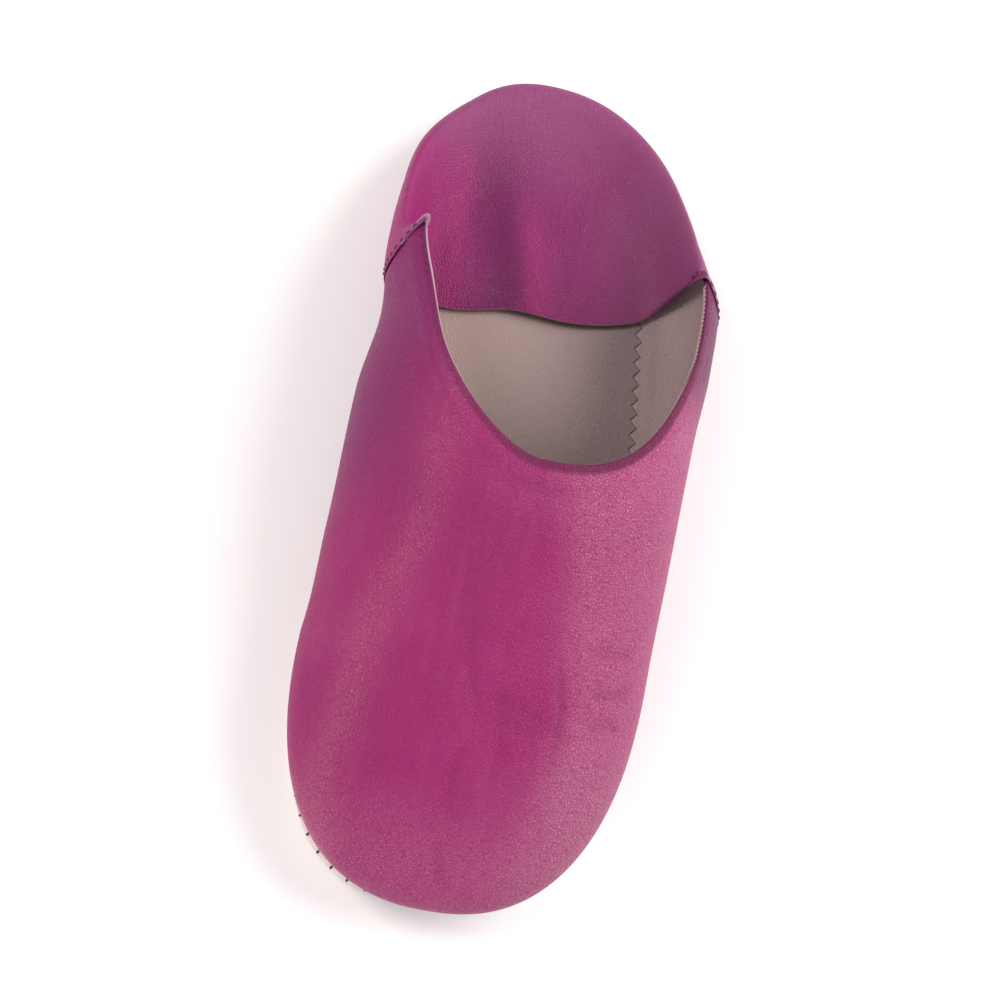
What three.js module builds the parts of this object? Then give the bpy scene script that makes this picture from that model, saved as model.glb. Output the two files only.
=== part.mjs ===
import * as THREE from 'three';

// A babouche slipper for the left foot, worn with its back folded down inside.
// All lengths are in mm. "along" runs from the toe end of the sole to its heel end,
// "across" is negative on the inner side of the foot, and "up" starts at the ground.

const SOLE_LENGTH = 262;
const BALL_AT = 71;
const HEEL_AT = 216;
const HEEL_ROUNDNESS = 2.17;
const OUTWARD_BOW = 5.2;
const TOE_SPRING = 2.5;
const TOE_SPRING_LENGTH = 55;
const ARCH_LIFT = 1;
const ARCH_AT = 148;
const ARCH_HALF_LENGTH = 40;
const SOLE_THICKNESS = 5;
const SOLE_EDGE_ROUND = 0.7;
const SEAT_GAP = 0.3;

const INSOLE_THICKNESS = 2;
const INSOLE_INSET = 4;
const TOOTH_PITCH = 5.2;
const TOOTH_DEPTH = 2.2;

const UPPER_INSET = 1.5;
const VAMP_WALL = 1.8;
const CROWN_ROUNDNESS = 2.3;
const THROAT_AT = 121;
const SEAM_GAP = 0.7;
const SEAM_TURN_HEIGHT = 8;

const QUARTER_WALL = 1.5;
const CREST_AT_BACK = 16;
const CREST_ABOVE_COLLAR = 0.6;
const CREST_FALL_POWER = 2.06;
const FOLD_AT_BACK = 5;
const FOLD_GROWTH_POWER = 6;
const FOLLOW_LAST_POWER = 8;
const FLAP_LIP = 1.6;
const FLAP_LIP_DROP = 1;
const FLAP_SLOPE_LENGTH = 26;

// How square the toe is in plan, for the sole and for the last over it.
const TOE_ROUNDNESS = {
  sole: { inner: 2.66, outer: 2.43 },
  last: { inner: 2.3, outer: 2.43 },
};

// Where each side seam meets the sole and the collar.
const SEAM = {
  inner: { foot: 181.4, tip: 191.5 },
  outer: { foot: 185, tip: 193.7 },
};

const SOLE_HALF_WIDTHS = [
  { along: 71, inner: 52.4, outer: 46.5 },
  { along: 150, inner: 41.5, outer: 42 },
  { along: 216, inner: 39.6, outer: 39.2 },
];

// How far the upper stands out past the sole, and how high up it is widest.
const OVERHANG = [
  { along: 0, inner: 1.7, outer: 1.7, up: 12 },
  { along: 71, inner: 1.4, outer: 3, up: 13.5 },
  { along: 104, inner: 6, outer: 5.2, up: 16 },
  { along: 145, inner: 11, outer: 8.8, up: 19.5 },
  { along: 170, inner: 9.3, outer: 12.6, up: 22.7 },
  { along: 194, inner: 11.2, outer: 13.4, up: 26 },
  { along: 228, inner: 7.5, outer: 5.7, up: 17.5 },
  { along: 250, inner: 3.9, outer: 4.9, up: 12 },
  { along: 262, inner: 5.8, outer: 5.8, up: 10 },
];

// The ridge of the last, carried on over the open mouth.
const CROWN = [
  { along: 0, up: 29 },
  { along: 40, up: 38 },
  { along: 71, up: 44.5 },
  { along: 121, up: 58.3 },
  { along: 155, up: 60.4 },
  { along: 194, up: 56.7 },
];

// The collar's curve in plan on each side of the throat.
const COLLAR = {
  inner: { roundness: 1.67, reach: 0.84 },
  outer: { roundness: 2.66, reach: 0.86 },
};

// The cut front edge of the folded back between the inner seam at -1 and the outer at 1.
const FLAP_EDGE = [
  { along: -0.95, across: -40.8, front: 195.6, up: 36.5 },
  { along: -0.9, across: -40.4, front: 193, up: 29 },
  { along: -0.85, across: -40.2, front: 188.5, up: 21 },
  { along: -0.8, across: -39.5, front: 184.5, up: 15 },
  { along: -0.7, across: -36.5, front: 182.6, up: 10.5 },
  { along: -0.55, across: -29, front: 182, up: 9.1 },
  { along: -0.4, across: -21, front: 183.2, up: 9.1 },
  { along: -0.2, across: -10, front: 186, up: 9.1 },
  { along: 0.15, across: 8.2, front: 185.8, up: 9.1 },
  { along: 0.35, across: 20, front: 187.5, up: 9.1 },
  { along: 0.5, across: 29.5, front: 190.2, up: 9.1 },
  { along: 0.6, across: 35.1, front: 192.6, up: 9.4 },
  { along: 0.7, across: 40, front: 196.5, up: 10.8 },
  { along: 0.8, across: 43.8, front: 199.8, up: 16.5 },
  { along: 0.9, across: 45, front: 200.4, up: 28 },
];

const VAMP_RIBS = 61;
const VAMP_TUCK_ROWS = 4;
const VAMP_ROWS = 16;
const QUARTER_RIBS = 49;
const QUARTER_TUCK_ROWS = 4;
const QUARTER_FOLD_ROWS = 7;
const QUARTER_FLAP_ROWS = 13;
const OUTLINE_STEPS = 18;
const LENGTH_STEPS = 900;

const LEATHER = { color: '#9c3a70', roughness: 0.5, metalness: 0 };
const FOLDED_LEATHER = { color: '#8f3c70', roughness: 0.55, metalness: 0 };
const LINING_LEATHER = { color: '#b5a29a', roughness: 0.8, metalness: 0 };
const SOLE_LEATHER = { color: '#c9b49c', roughness: 0.75, metalness: 0 };

const INSOLE_TOP = SOLE_THICKNESS + SEAT_GAP + INSOLE_THICKNESS;
const UPPER_FOOT = SOLE_THICKNESS + SEAT_GAP;

const clamp = (value, low, high) => Math.min(Math.max(value, low), high);
const mix = (from, to, share) => from + (to - from) * share;
const sideName = (side) => (side < 0 ? 'inner' : 'outer');

// A smooth curve through the rows of a table, level beyond its ends.
function through(rows, column, along) {
  const last = rows.length - 1;
  const at = clamp(along, rows[0].along, rows[last].along);
  let i = 0;
  while (i < last - 1 && at > rows[i + 1].along) {
    i += 1;
  }
  const slope = (j) => {
    const before = rows[Math.max(j - 1, 0)];
    const after = rows[Math.min(j + 1, last)];
    return (after[column] - before[column]) / (after.along - before.along);
  };
  const span = rows[i + 1].along - rows[i].along;
  const t = (at - rows[i].along) / span;
  const near = rows[i][column] * (1 + 2 * t) + slope(i) * span * t;
  const far = rows[i + 1][column] * (3 - 2 * t) - slope(i + 1) * span * (1 - t);
  return near * (1 - t) ** 2 + far * t ** 2;
}

const halfWidth = (along, side) => through(SOLE_HALF_WIDTHS, sideName(side), along);
const overhang = (along, side) => through(OVERHANG, sideName(side), Math.max(along, BALL_AT));
const widestUp = (along) => through(OVERHANG, 'up', along);

function lift(along) {
  const toe = TOE_SPRING * Math.max(0, 1 - along / TOE_SPRING_LENGTH) ** 2;
  const fromArch = clamp((along - ARCH_AT) / ARCH_HALF_LENGTH, -1, 1);
  return toe + (ARCH_LIFT * (1 + Math.cos(Math.PI * fromArch))) / 2;
}

function place(across, along, up) {
  const share = along / SOLE_LENGTH;
  const bow = OUTWARD_BOW * 4 * share * (1 - share);
  return new THREE.Vector3(across + bow, along, up + lift(along));
}

// One side of the sole's outline: key 0 to 1 is the toe, 1 to 2 the side, 2 to 3 the heel.
function outline(key, side, grow, toeGrow = grow, form = 'sole') {
  if (key <= 1) {
    const turn = (key * Math.PI) / 2;
    const width = halfWidth(BALL_AT, side) + grow;
    const power = 2 / TOE_ROUNDNESS[form][sideName(side)];
    return {
      across: side * width * Math.sin(turn) ** power,
      along: BALL_AT - (BALL_AT + toeGrow) * Math.max(Math.cos(turn), 0) ** power,
    };
  }
  if (key <= 2) {
    const along = mix(BALL_AT, HEEL_AT, key - 1);
    return { across: side * (halfWidth(along, side) + grow), along };
  }
  const turn = ((key - 2) * Math.PI) / 2;
  const width = halfWidth(HEEL_AT, side) + grow;
  const depth = SOLE_LENGTH - HEEL_AT + grow;
  return {
    across: side * width * Math.max(Math.cos(turn), 0) ** (2 / HEEL_ROUNDNESS),
    along: HEEL_AT + depth * Math.sin(turn) ** (2 / HEEL_ROUNDNESS),
  };
}

function widestOutline(key, side) {
  const grow = overhang(outline(key, side, 0).along, side);
  return outline(key, side, grow, OVERHANG[0].inner, 'last');
}

// Running length of each side of the outline, to space ribs evenly.
function measureSide(side) {
  const lengths = [0];
  for (let i = 1; i <= LENGTH_STEPS; i += 1) {
    const from = outline((3 * (i - 1)) / LENGTH_STEPS, side, 0);
    const to = outline((3 * i) / LENGTH_STEPS, side, 0);
    lengths.push(lengths[i - 1] + Math.hypot(to.across - from.across, to.along - from.along));
  }
  return lengths;
}

const SIDE_LENGTHS = { inner: measureSide(-1), outer: measureSide(1) };

function keyAtLength(length, side) {
  const lengths = SIDE_LENGTHS[sideName(side)];
  let i = 1;
  while (i < LENGTH_STEPS && lengths[i] < length) {
    i += 1;
  }
  const share = (length - lengths[i - 1]) / (lengths[i] - lengths[i - 1]);
  return (3 * (i - 1 + clamp(share, 0, 1))) / LENGTH_STEPS;
}

function lengthAtAlong(along, side) {
  const lengths = SIDE_LENGTHS[sideName(side)];
  const step = (LENGTH_STEPS / 3) * (1 + (along - BALL_AT) / (HEEL_AT - BALL_AT));
  const whole = Math.floor(step);
  return mix(lengths[whole], lengths[whole + 1], step - whole);
}

// Height of the last's surface over a point inside its widest line.
function lastUp(across, along) {
  const side = across < 0 ? -1 : 1;
  const sideways = Math.abs(across) / (halfWidth(along, side) + overhang(along, side));
  const forward = Math.max(BALL_AT - along, 0) / (BALL_AT + OVERHANG[0].inner);
  const power = TOE_ROUNDNESS.last[sideName(side)];
  const out = (sideways ** power + forward ** power) ** (1 / power);
  const rise = Math.max(1 - out ** CROWN_ROUNDNESS, 0) ** (1 / CROWN_ROUNDNESS);
  return mix(widestUp(along), through(CROWN, 'up', along), rise);
}

// A point of the collar: turn is -1 at the inner seam, 0 at the throat, 1 at the outer seam.
function collarPoint(turn, seamAt) {
  const side = turn < 0 ? -1 : 1;
  const { roundness, reach } = COLLAR[sideName(side)];
  const angle = (Math.abs(turn) * Math.PI) / 2;
  const back = Math.max(Math.cos(angle), 0) ** (2 / roundness);
  const along = mix(seamAt, THROAT_AT, back);
  const width = halfWidth(along, side) + overhang(along, side);
  return { across: side * reach * width * Math.sin(angle) ** (2 / roundness), along };
}

// The lower part of a wall, rolled out from the sole's edge to the widest line.
function tuckPoint(foot, widest, widestHeight, share) {
  const angle = (share * Math.PI) / 2;
  const across = mix(foot.across, widest.across, Math.sin(angle));
  const along = mix(foot.along, widest.along, Math.sin(angle));
  return place(across, along, mix(widestHeight, UPPER_FOOT, Math.cos(angle)));
}

// Ribs run from the inner seam round the toe to the outer seam, each from sole to collar.
function vampRib(share) {
  const turn = 2 * share - 1;
  const side = turn < 0 ? -1 : 1;
  const seam = SEAM[sideName(side)];
  const wholeLength = lengthAtAlong(seam.foot - SEAM_GAP / 2, side);
  const key = keyAtLength(Math.abs(turn) * wholeLength, side);
  const foot = outline(key, side, -UPPER_INSET);
  const widest = widestOutline(key, side);
  const collar = collarPoint(turn, seam.tip - SEAM_GAP / 2);
  const rib = [];
  for (let i = 0; i < VAMP_TUCK_ROWS; i += 1) {
    rib.push(tuckPoint(foot, widest, widestUp(widest.along), i / VAMP_TUCK_ROWS));
  }
  rib.push(place(widest.across, widest.along, widestUp(widest.along)));
  for (let i = 1; i <= VAMP_ROWS; i += 1) {
    const inward = 1 - Math.cos((i * Math.PI) / 2 / VAMP_ROWS);
    const across = mix(widest.across, collar.across, inward);
    const along = mix(widest.along, collar.along, inward);
    rib.push(place(across, along, lastUp(across, along)));
  }
  return rib;
}

// Where the back starts at each seam: the foot's widest point, the collar's tip over it,
// how far in the tip lies, and the corner of the flap just past the tip.
function seamEnd(side) {
  const seam = SEAM[sideName(side)];
  const footKey = 1 + (seam.foot + SEAM_GAP / 2 - BALL_AT) / (HEEL_AT - BALL_AT);
  const widest = widestOutline(footKey, side);
  const tip = collarPoint(side, seam.tip + SEAM_GAP / 2);
  const fold = Math.hypot(tip.across - widest.across, tip.along - widest.along);
  const crestUp = lastUp(tip.across, tip.along) + CREST_ABOVE_COLLAR;
  const past = (fold + FLAP_LIP) / fold;
  const corner = {
    along: side,
    across: mix(widest.across, tip.across, past),
    front: mix(widest.along, tip.along, past),
    up: crestUp - FLAP_LIP_DROP,
  };
  return { fold, crestUp, corner };
}

const SEAM_ENDS = { inner: seamEnd(-1), outer: seamEnd(1) };
const WHOLE_FLAP_EDGE = [SEAM_ENDS.inner.corner, ...FLAP_EDGE, SEAM_ENDS.outer.corner];

// How far the flap has come down from its crest: level at the crest, and levelling out
// again on the insole where the flap is long.
function flapFall(inward, length) {
  const share = Math.min(inward / Math.min(length, FLAP_SLOPE_LENGTH), 1);
  const levelling = Math.min(length / FLAP_SLOPE_LENGTH, 1) ** 2;
  return mix(share ** 2, (1 - Math.cos(Math.PI * share)) / 2, levelling);
}

// Ribs run from the outer seam round the heel to the inner seam, each from the sole up,
// over the fold and down to the cut edge of the flap.
function quarterRib(share) {
  const turn = 1 - 2 * share;
  const side = turn < 0 ? -1 : 1;
  const nearSeam = Math.abs(turn);
  const end = SEAM_ENDS[sideName(side)];
  const seamLength = lengthAtAlong(SEAM[sideName(side)].foot + SEAM_GAP / 2, side);
  const wholeLength = SIDE_LENGTHS[sideName(side)][LENGTH_STEPS];
  const key = keyAtLength(mix(wholeLength, seamLength, nearSeam), side);
  const foot = outline(key, side, -UPPER_INSET);
  const widest = widestOutline(key, side);
  const crestUp = mix(CREST_AT_BACK, end.crestUp, nearSeam ** CREST_FALL_POWER);
  const widestHeight = Math.min(widestUp(widest.along), crestUp - FOLD_AT_BACK);
  const edge = {
    across: through(WHOLE_FLAP_EDGE, 'across', turn),
    along: through(WHOLE_FLAP_EDGE, 'front', turn),
    up: through(WHOLE_FLAP_EDGE, 'up', turn),
  };
  const reach = Math.hypot(edge.across - widest.across, edge.along - widest.along);
  const roomForFold = (reach * end.fold) / (end.fold + FLAP_LIP);
  const fold = Math.min(mix(FOLD_AT_BACK, end.fold, nearSeam ** FOLD_GROWTH_POWER), roomForFold);
  const spot = (inward) => ({
    across: mix(widest.across, edge.across, inward / reach),
    along: mix(widest.along, edge.along, inward / reach),
  });
  const at = (inward, up) => place(spot(inward).across, spot(inward).along, up);
  const lastRise = (inward) => lastUp(spot(inward).across, spot(inward).along) - widestHeight;
  const rib = [];
  for (let i = 0; i < QUARTER_TUCK_ROWS; i += 1) {
    rib.push(tuckPoint(foot, widest, widestHeight, i / QUARTER_TUCK_ROWS));
  }
  for (let i = 0; i < QUARTER_FOLD_ROWS; i += 1) {
    const angle = (i * Math.PI) / 2 / QUARTER_FOLD_ROWS;
    const inward = fold * (1 - Math.cos(angle));
    const likeLast = lastRise(inward) / lastRise(fold);
    const rise = mix(Math.sin(angle), likeLast, nearSeam ** FOLLOW_LAST_POWER);
    rib.push(at(inward, mix(widestHeight, crestUp, rise)));
  }
  for (let i = 0; i <= QUARTER_FLAP_ROWS; i += 1) {
    const inward = ((reach - fold) * i) / QUARTER_FLAP_ROWS;
    rib.push(at(fold + inward, mix(crestUp, edge.up, flapFall(inward, reach - fold))));
  }
  return rib;
}

function ribs(count, rib) {
  return Array.from({ length: count }, (_, i) => rib(i / (count - 1)));
}

// A closed body from points and faces.
function body(name, points, faces, look) {
  const geometry = new THREE.BufferGeometry();
  geometry.setAttribute('position', new THREE.Float32BufferAttribute(points.flatMap((p) => [p.x, p.y, p.z]), 3));
  geometry.setIndex(faces.flat());
  geometry.computeVertexNormals();
  const mesh = new THREE.Mesh(geometry, new THREE.MeshStandardMaterial(look));
  mesh.name = name;
  return mesh;
}

// A skin of ribs thickened inward into a closed shell, cut square at its two seams.
// Its seams run straight up to the widest row, and from there turn to a slant in plan.
function shell(name, skin, widestRow, wall, look) {
  const ribCount = skin.length;
  const rowCount = skin[0].length;
  const points = skin.flat();
  const index = (rib, row) => rib * rowCount + row;
  const edgeVector = (rib, row, ribStep, rowStep) => {
    const fromRib = clamp(rib - ribStep, 0, ribCount - 1);
    const toRib = clamp(rib + ribStep, 0, ribCount - 1);
    const fromRow = clamp(row - rowStep, 0, rowCount - 1);
    const toRow = clamp(row + rowStep, 0, rowCount - 1);
    return skin[toRib][toRow].clone().sub(skin[fromRib][fromRow]);
  };
  const seamNormal = (rib, row) => {
    const straight = new THREE.Vector3(0, 1, 0);
    const run = skin[rib][rowCount - 1].clone().sub(skin[rib][widestRow]);
    const slanted = new THREE.Vector3(-run.y, run.x, 0).normalize();
    slanted.multiplyScalar(Math.sign(slanted.y));
    const rise = row > widestRow ? skin[rib][row].z - skin[rib][widestRow].z : 0;
    return straight.lerp(slanted, clamp(rise / SEAM_TURN_HEIGHT, 0, 1)).normalize();
  };
  const insidePoints = points.map((point, i) => {
    const rib = Math.floor(i / rowCount);
    const row = i % rowCount;
    const outward = edgeVector(rib, row, 1, 0).cross(edgeVector(rib, row, 0, 1));
    if (rib === 0 || rib === ribCount - 1) {
      const across = seamNormal(rib, row);
      outward.addScaledVector(across, -outward.dot(across));
    }
    return point.clone().addScaledVector(outward.normalize(), -wall);
  });
  const inside = points.length;
  const faces = [];
  const quad = (a, b, c, d) => faces.push([a, b, c], [a, c, d]);
  for (let rib = 0; rib < ribCount - 1; rib += 1) {
    for (let row = 0; row < rowCount - 1; row += 1) {
      const corners = [index(rib, row), index(rib + 1, row), index(rib + 1, row + 1), index(rib, row + 1)];
      quad(...corners);
      quad(...corners.map((i) => i + inside).reverse());
    }
    for (const [row, flip] of [[0, false], [rowCount - 1, true]]) {
      const ends = flip ? [index(rib, row), index(rib + 1, row)] : [index(rib + 1, row), index(rib, row)];
      quad(ends[0], ends[1], ends[1] + inside, ends[0] + inside);
    }
  }
  for (let row = 0; row < rowCount - 1; row += 1) {
    for (const [rib, flip] of [[0, false], [ribCount - 1, true]]) {
      const ends = flip ? [index(rib, row + 1), index(rib, row)] : [index(rib, row), index(rib, row + 1)];
      quad(ends[0], ends[1], ends[1] + inside, ends[0] + inside);
    }
  }
  return body(name, points.concat(insidePoints), faces, look);
}

// A flat plate in the sole's outline. Each layer is a loop at its own height and inset.
function plate(name, keys, layers, look) {
  const inner = keys;
  const outer = keys.slice(1, -1).reverse();
  const points = [];
  for (const layer of layers) {
    const corner = (side) => ({ key, tooth }) => {
      const spot = outline(key, side, -layer.inset - tooth);
      return place(spot.across, spot.along, layer.up);
    };
    points.push(...inner.map(corner(-1)), ...outer.map(corner(1)));
  }
  const count = inner.length + outer.length;
  const faces = [];
  for (let layer = 0; layer < layers.length - 1; layer += 1) {
    for (let i = 0; i < count; i += 1) {
      const a = layer * count + i;
      const b = layer * count + ((i + 1) % count);
      faces.push([a, a + count, b + count], [a, b + count, b]);
    }
  }
  const opposite = (i) => (count - i) % count;
  const top = (layers.length - 1) * count;
  for (let i = 0; i < inner.length - 1; i += 1) {
    const corners = [i, i + 1, opposite(i + 1), opposite(i)];
    for (const [p, q, r] of [[0, 1, 2], [0, 2, 3]]) {
      const trio = [corners[p], corners[q], corners[r]];
      if (new Set(trio).size === 3) {
        faces.push(trio);
        faces.push(trio.map((j) => j + top).reverse());
      }
    }
  }
  return body(name, points, faces, look);
}

function evenKeys(from, to, steps, tooth = () => 0) {
  return Array.from({ length: steps }, (_, i) => ({ key: mix(from, to, i / steps), tooth: tooth(i) }));
}

const teeth = Math.round((HEEL_AT - BALL_AT) / TOOTH_PITCH);
const pinked = (i) => (i % 2) * TOOTH_DEPTH;
const soleKeys = [
  ...evenKeys(0, 1, OUTLINE_STEPS),
  ...evenKeys(1, 2, OUTLINE_STEPS),
  ...evenKeys(2, 3, OUTLINE_STEPS),
  { key: 3, tooth: 0 },
];
const insoleKeys = [
  ...evenKeys(0, 1, OUTLINE_STEPS),
  ...evenKeys(1, 2, 2 * teeth, pinked),
  ...evenKeys(2, 3, OUTLINE_STEPS),
  { key: 3, tooth: 0 },
];

const outsole = plate('outsole', soleKeys, [
  { up: 0, inset: SOLE_EDGE_ROUND },
  { up: SOLE_EDGE_ROUND, inset: 0 },
  { up: SOLE_THICKNESS - SOLE_EDGE_ROUND, inset: 0 },
  { up: SOLE_THICKNESS, inset: SOLE_EDGE_ROUND },
], SOLE_LEATHER);

const insole = plate('insole', insoleKeys, [
  { up: SOLE_THICKNESS + SEAT_GAP, inset: INSOLE_INSET },
  { up: INSOLE_TOP, inset: INSOLE_INSET },
], LINING_LEATHER);

const vampSkin = ribs(VAMP_RIBS, vampRib);
const quarterSkin = ribs(QUARTER_RIBS, quarterRib);
const vamp = shell('vamp', vampSkin, VAMP_TUCK_ROWS, VAMP_WALL, LEATHER);
const heelQuarter = shell('heel_quarter', quarterSkin, QUARTER_TUCK_ROWS, QUARTER_WALL, FOLDED_LEATHER);

const slipper = new THREE.Group();
slipper.name = 'babouche_slipper';
slipper.add(outsole, insole, vamp, heelQuarter);

// The origin is under the middle of the whole slipper, on the ground.
const whole = new THREE.Box3().setFromObject(slipper);
const middle = whole.getCenter(new THREE.Vector3());
for (const mesh of slipper.children) {
  mesh.geometry.translate(-middle.x, -middle.y, -whole.min.z);
}

export default slipper;
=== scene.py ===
"""A babouche slipper for the left foot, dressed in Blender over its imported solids."""

import math

import bpy
import numpy as np
from mathutils import Matrix, Vector


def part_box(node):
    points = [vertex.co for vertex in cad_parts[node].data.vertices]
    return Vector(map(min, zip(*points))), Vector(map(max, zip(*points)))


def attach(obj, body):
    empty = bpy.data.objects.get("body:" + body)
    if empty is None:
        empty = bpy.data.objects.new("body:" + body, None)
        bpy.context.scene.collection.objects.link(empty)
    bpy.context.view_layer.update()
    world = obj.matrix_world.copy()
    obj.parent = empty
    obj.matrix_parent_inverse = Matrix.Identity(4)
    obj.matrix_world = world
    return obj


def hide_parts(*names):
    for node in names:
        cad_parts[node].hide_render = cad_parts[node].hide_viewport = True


bl_info = {
    "name": "Babouche slipper",
    "version": (1, 0, 0),
    "blender": (4, 5, 0),
    "location": "View3D > Sidebar > Slipper",
    "description": "Makes a leather babouche with its back folded down inside",
    "category": "Add Mesh",
}

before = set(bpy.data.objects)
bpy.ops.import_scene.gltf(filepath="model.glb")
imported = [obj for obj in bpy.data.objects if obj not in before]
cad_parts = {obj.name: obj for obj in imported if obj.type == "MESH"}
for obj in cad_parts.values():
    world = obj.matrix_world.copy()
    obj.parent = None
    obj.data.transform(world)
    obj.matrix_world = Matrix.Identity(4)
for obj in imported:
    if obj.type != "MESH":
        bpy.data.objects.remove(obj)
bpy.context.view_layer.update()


def table(columns, *rows):
    """Rows of a table, each as a dict of its named columns."""
    return tuple(dict(zip(columns.split(), row)) for row in rows)


# Sizes in mm. "along" runs from the sole's toe end to its heel end, "across" is negative
# on the inner side of the foot, and "up" starts at the ground.
MM = 0.001
SOLE_LENGTH = 262.0
BALL_AT = 71.0
HEEL_AT = 216.0
HEEL_ROUNDNESS = 2.17
OUTWARD_BOW = 5.2
TOE_SPRING = 2.5
TOE_SPRING_LENGTH = 55.0
ARCH_LIFT = 1.0
ARCH_AT = 148.0
ARCH_HALF_LENGTH = 40.0
SOLE_THICKNESS = 5.0
SEAT_GAP = 0.3
INSOLE_THICKNESS = 2.0
INSOLE_INSET = 4.0
UPPER_INSET = 1.5
VAMP_WALL = 1.8
CROWN_ROUNDNESS = 2.3
THROAT_AT = 121.0
SEAM_GAP = 0.7
SEAM_TURN_HEIGHT = 8.0
QUARTER_WALL = 1.5
CREST_AT_BACK = 16.0
CREST_ABOVE_COLLAR = 0.6
CREST_FALL_POWER = 2.06
FOLD_AT_BACK = 5.0
FOLD_GROWTH_POWER = 6.0
FOLLOW_LAST_POWER = 8.0
FLAP_LIP = 1.6
FLAP_LIP_DROP = 1.0
FLAP_SLOPE_LENGTH = 26.0
INSOLE_TOP = SOLE_THICKNESS + SEAT_GAP + INSOLE_THICKNESS
UPPER_FOOT = SOLE_THICKNESS + SEAT_GAP

TOE_ROUNDNESS = {
    "sole": {"inner": 2.66, "outer": 2.43},
    "last": {"inner": 2.3, "outer": 2.43},
}
SEAM = {
    "inner": {"foot": 181.4, "tip": 191.5},
    "outer": {"foot": 185.0, "tip": 193.7},
}
SOLE_HALF_WIDTHS = table(
    "along inner outer",
    (71, 52.4, 46.5), (150, 41.5, 42), (216, 39.6, 39.2),
)
OVERHANG = table(
    "along inner outer up",
    (0, 1.7, 1.7, 12),
    (71, 1.4, 3, 13.5),
    (104, 6, 5.2, 16),
    (145, 11, 8.8, 19.5),
    (170, 9.3, 12.6, 22.7),
    (194, 11.2, 13.4, 26),
    (228, 7.5, 5.7, 17.5),
    (250, 3.9, 4.9, 12),
    (262, 5.8, 5.8, 10),
)
CROWN = table(
    "along up",
    (0, 29), (40, 38), (71, 44.5), (121, 58.3), (155, 60.4), (194, 56.7),
)
COLLAR = {
    "inner": {"roundness": 1.67, "reach": 0.84},
    "outer": {"roundness": 2.66, "reach": 0.86},
}
# The flap's cut edge, by turn round the back from the inner seam (-1) to the outer one (1).
FLAP_EDGE = table(
    "along across front up",
    (-0.95, -40.8, 195.6, 36.5),
    (-0.9, -40.4, 193, 29),
    (-0.85, -40.2, 188.5, 21),
    (-0.8, -39.5, 184.5, 15),
    (-0.7, -36.5, 182.6, 10.5),
    (-0.55, -29, 182, 9.1),
    (-0.4, -21, 183.2, 9.1),
    (-0.2, -10, 186, 9.1),
    (0.15, 8.2, 185.8, 9.1),
    (0.35, 20, 187.5, 9.1),
    (0.5, 29.5, 190.2, 9.1),
    (0.6, 35.1, 192.6, 9.4),
    (0.7, 40, 196.5, 10.8),
    (0.8, 43.8, 199.8, 16.5),
    (0.9, 45, 200.4, 28),
)
# Soft ridges and troughs of the folded back: where each runs at the front edge and at the
# back, how wide it is to either side, how high it is, and how much is left at the back.
FLAP_RIDGES = table(
    "front back inner outer height left_at_back",
    (-1.0, -16.0, 9.0, 19.0, 5.0, 0.25),
    (-21.5, -30.0, 2.4, 2.4, -0.8, 0.8),
    (-13.0, -22.0, 1.6, 1.6, -0.3, 0.5),
)
# The ridges run over this depth, are lower at the cut edge, and die out at the fold and
# where the flap is short.
FLAP_FRONT_AT = 187.0
FLAP_DEPTH = 70.0
RIDGE_LEFT_AT_EDGE = 0.3
RIDGE_EDGE_LENGTH = 14.0
RIDGE_FOLD_LENGTH = 20.0
RIDGE_SHORTEST_FLAP = 8.0
RIDGE_FLAP_GROWTH = 40.0
# Fine creases of the vamp, as (across, along) of their two ends, with depth and half width.
VAMP_CREASES = table(
    "start end depth width",
    ((18.0, 70.0), (22.5, 40.0), 0.52, 1.5),
    ((-1.5, 58.0), (25.5, 48.0), 0.45, 1.6),
    ((3.0, 53.0), (20.0, 46.0), 0.38, 1.5),
    ((28.0, 63.0), (42.0, 66.0), 0.45, 1.6),
    ((26.0, 72.0), (40.0, 78.0), 0.38, 1.5),
    ((30.0, 55.0), (41.0, 55.0), 0.38, 1.5),
    ((-3.0, 69.0), (8.0, 78.0), 0.3, 1.5),
    ((-10.0, 78.0), (-1.5, 47.0), 0.36, 1.4),
    ((-4.0, 44.0), (-2.5, 19.0), 0.33, 1.4),
    ((-4.2, 16.0), (3.6, 3.0), 0.33, 1.3),
    ((4.5, 60.0), (6.5, 32.0), 0.3, 1.4),
)
# Where the vamp is paler, partly with wear and partly with painted sheen (outward of its line), and polished
# with painted sheen (along its line).
WEAR_AND_SHEEN_LINE = table(
    "along across",
    (15, 25), (42, 22), (56, 20.5), (80, 15.5), (111, 7.5), (125, 4),
)
POLISHED_LINE = table(
    "along across",
    (12, -36), (25, -40.5), (43, -38), (79, -35), (94, -30), (133, -27.5),
)
# Hand-cut edge of the sole on the inner side, by place along the outline (1 at the ball):
# how far it stands back from the outline.
SOLE_CUT = table(
    "along inner",
    (0.0, 0.1), (0.2, 0.0), (0.38, 0.5), (0.55, 1.2), (0.75, 1.8), (1.1, 1.9), (1.6, 0.0),
)
# Tones of the collar from the inner tip (-1) over the throat (0) to the outer tip (1): its pale raw edge, the
# painted shade on its roll, the painted highlight beside the roll, and how far it turns in.
COLLAR_TONES = table(
    "along pale dark rubbed turned",
    (-1.0, 0.9, 0.5, 0.0, 1.0),
    (-0.53, 0.8, 0.6, 0.0, 1.0),
    (-0.35, 0.35, 0.75, 0.1, 1.0),
    (-0.15, 0.0, 0.9, 0.3, 1.0),
    (0.2, 0.2, 1.0, 0.5, 1.0),
    (0.45, 0.9, 1.0, 0.6, 1.0),
    (0.68, 0.8, 1.0, 0.3, 0.5),
    (0.8, 0.1, 0.9, 0.0, 0.0),
    (1.0, 0.0, 0.8, 0.0, 0.0),
)

SOLE_KEYS = np.linspace(0, 3, 541)
SKIVED_LENGTH = 6.0
EASING_ROUNDS = 90
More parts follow.
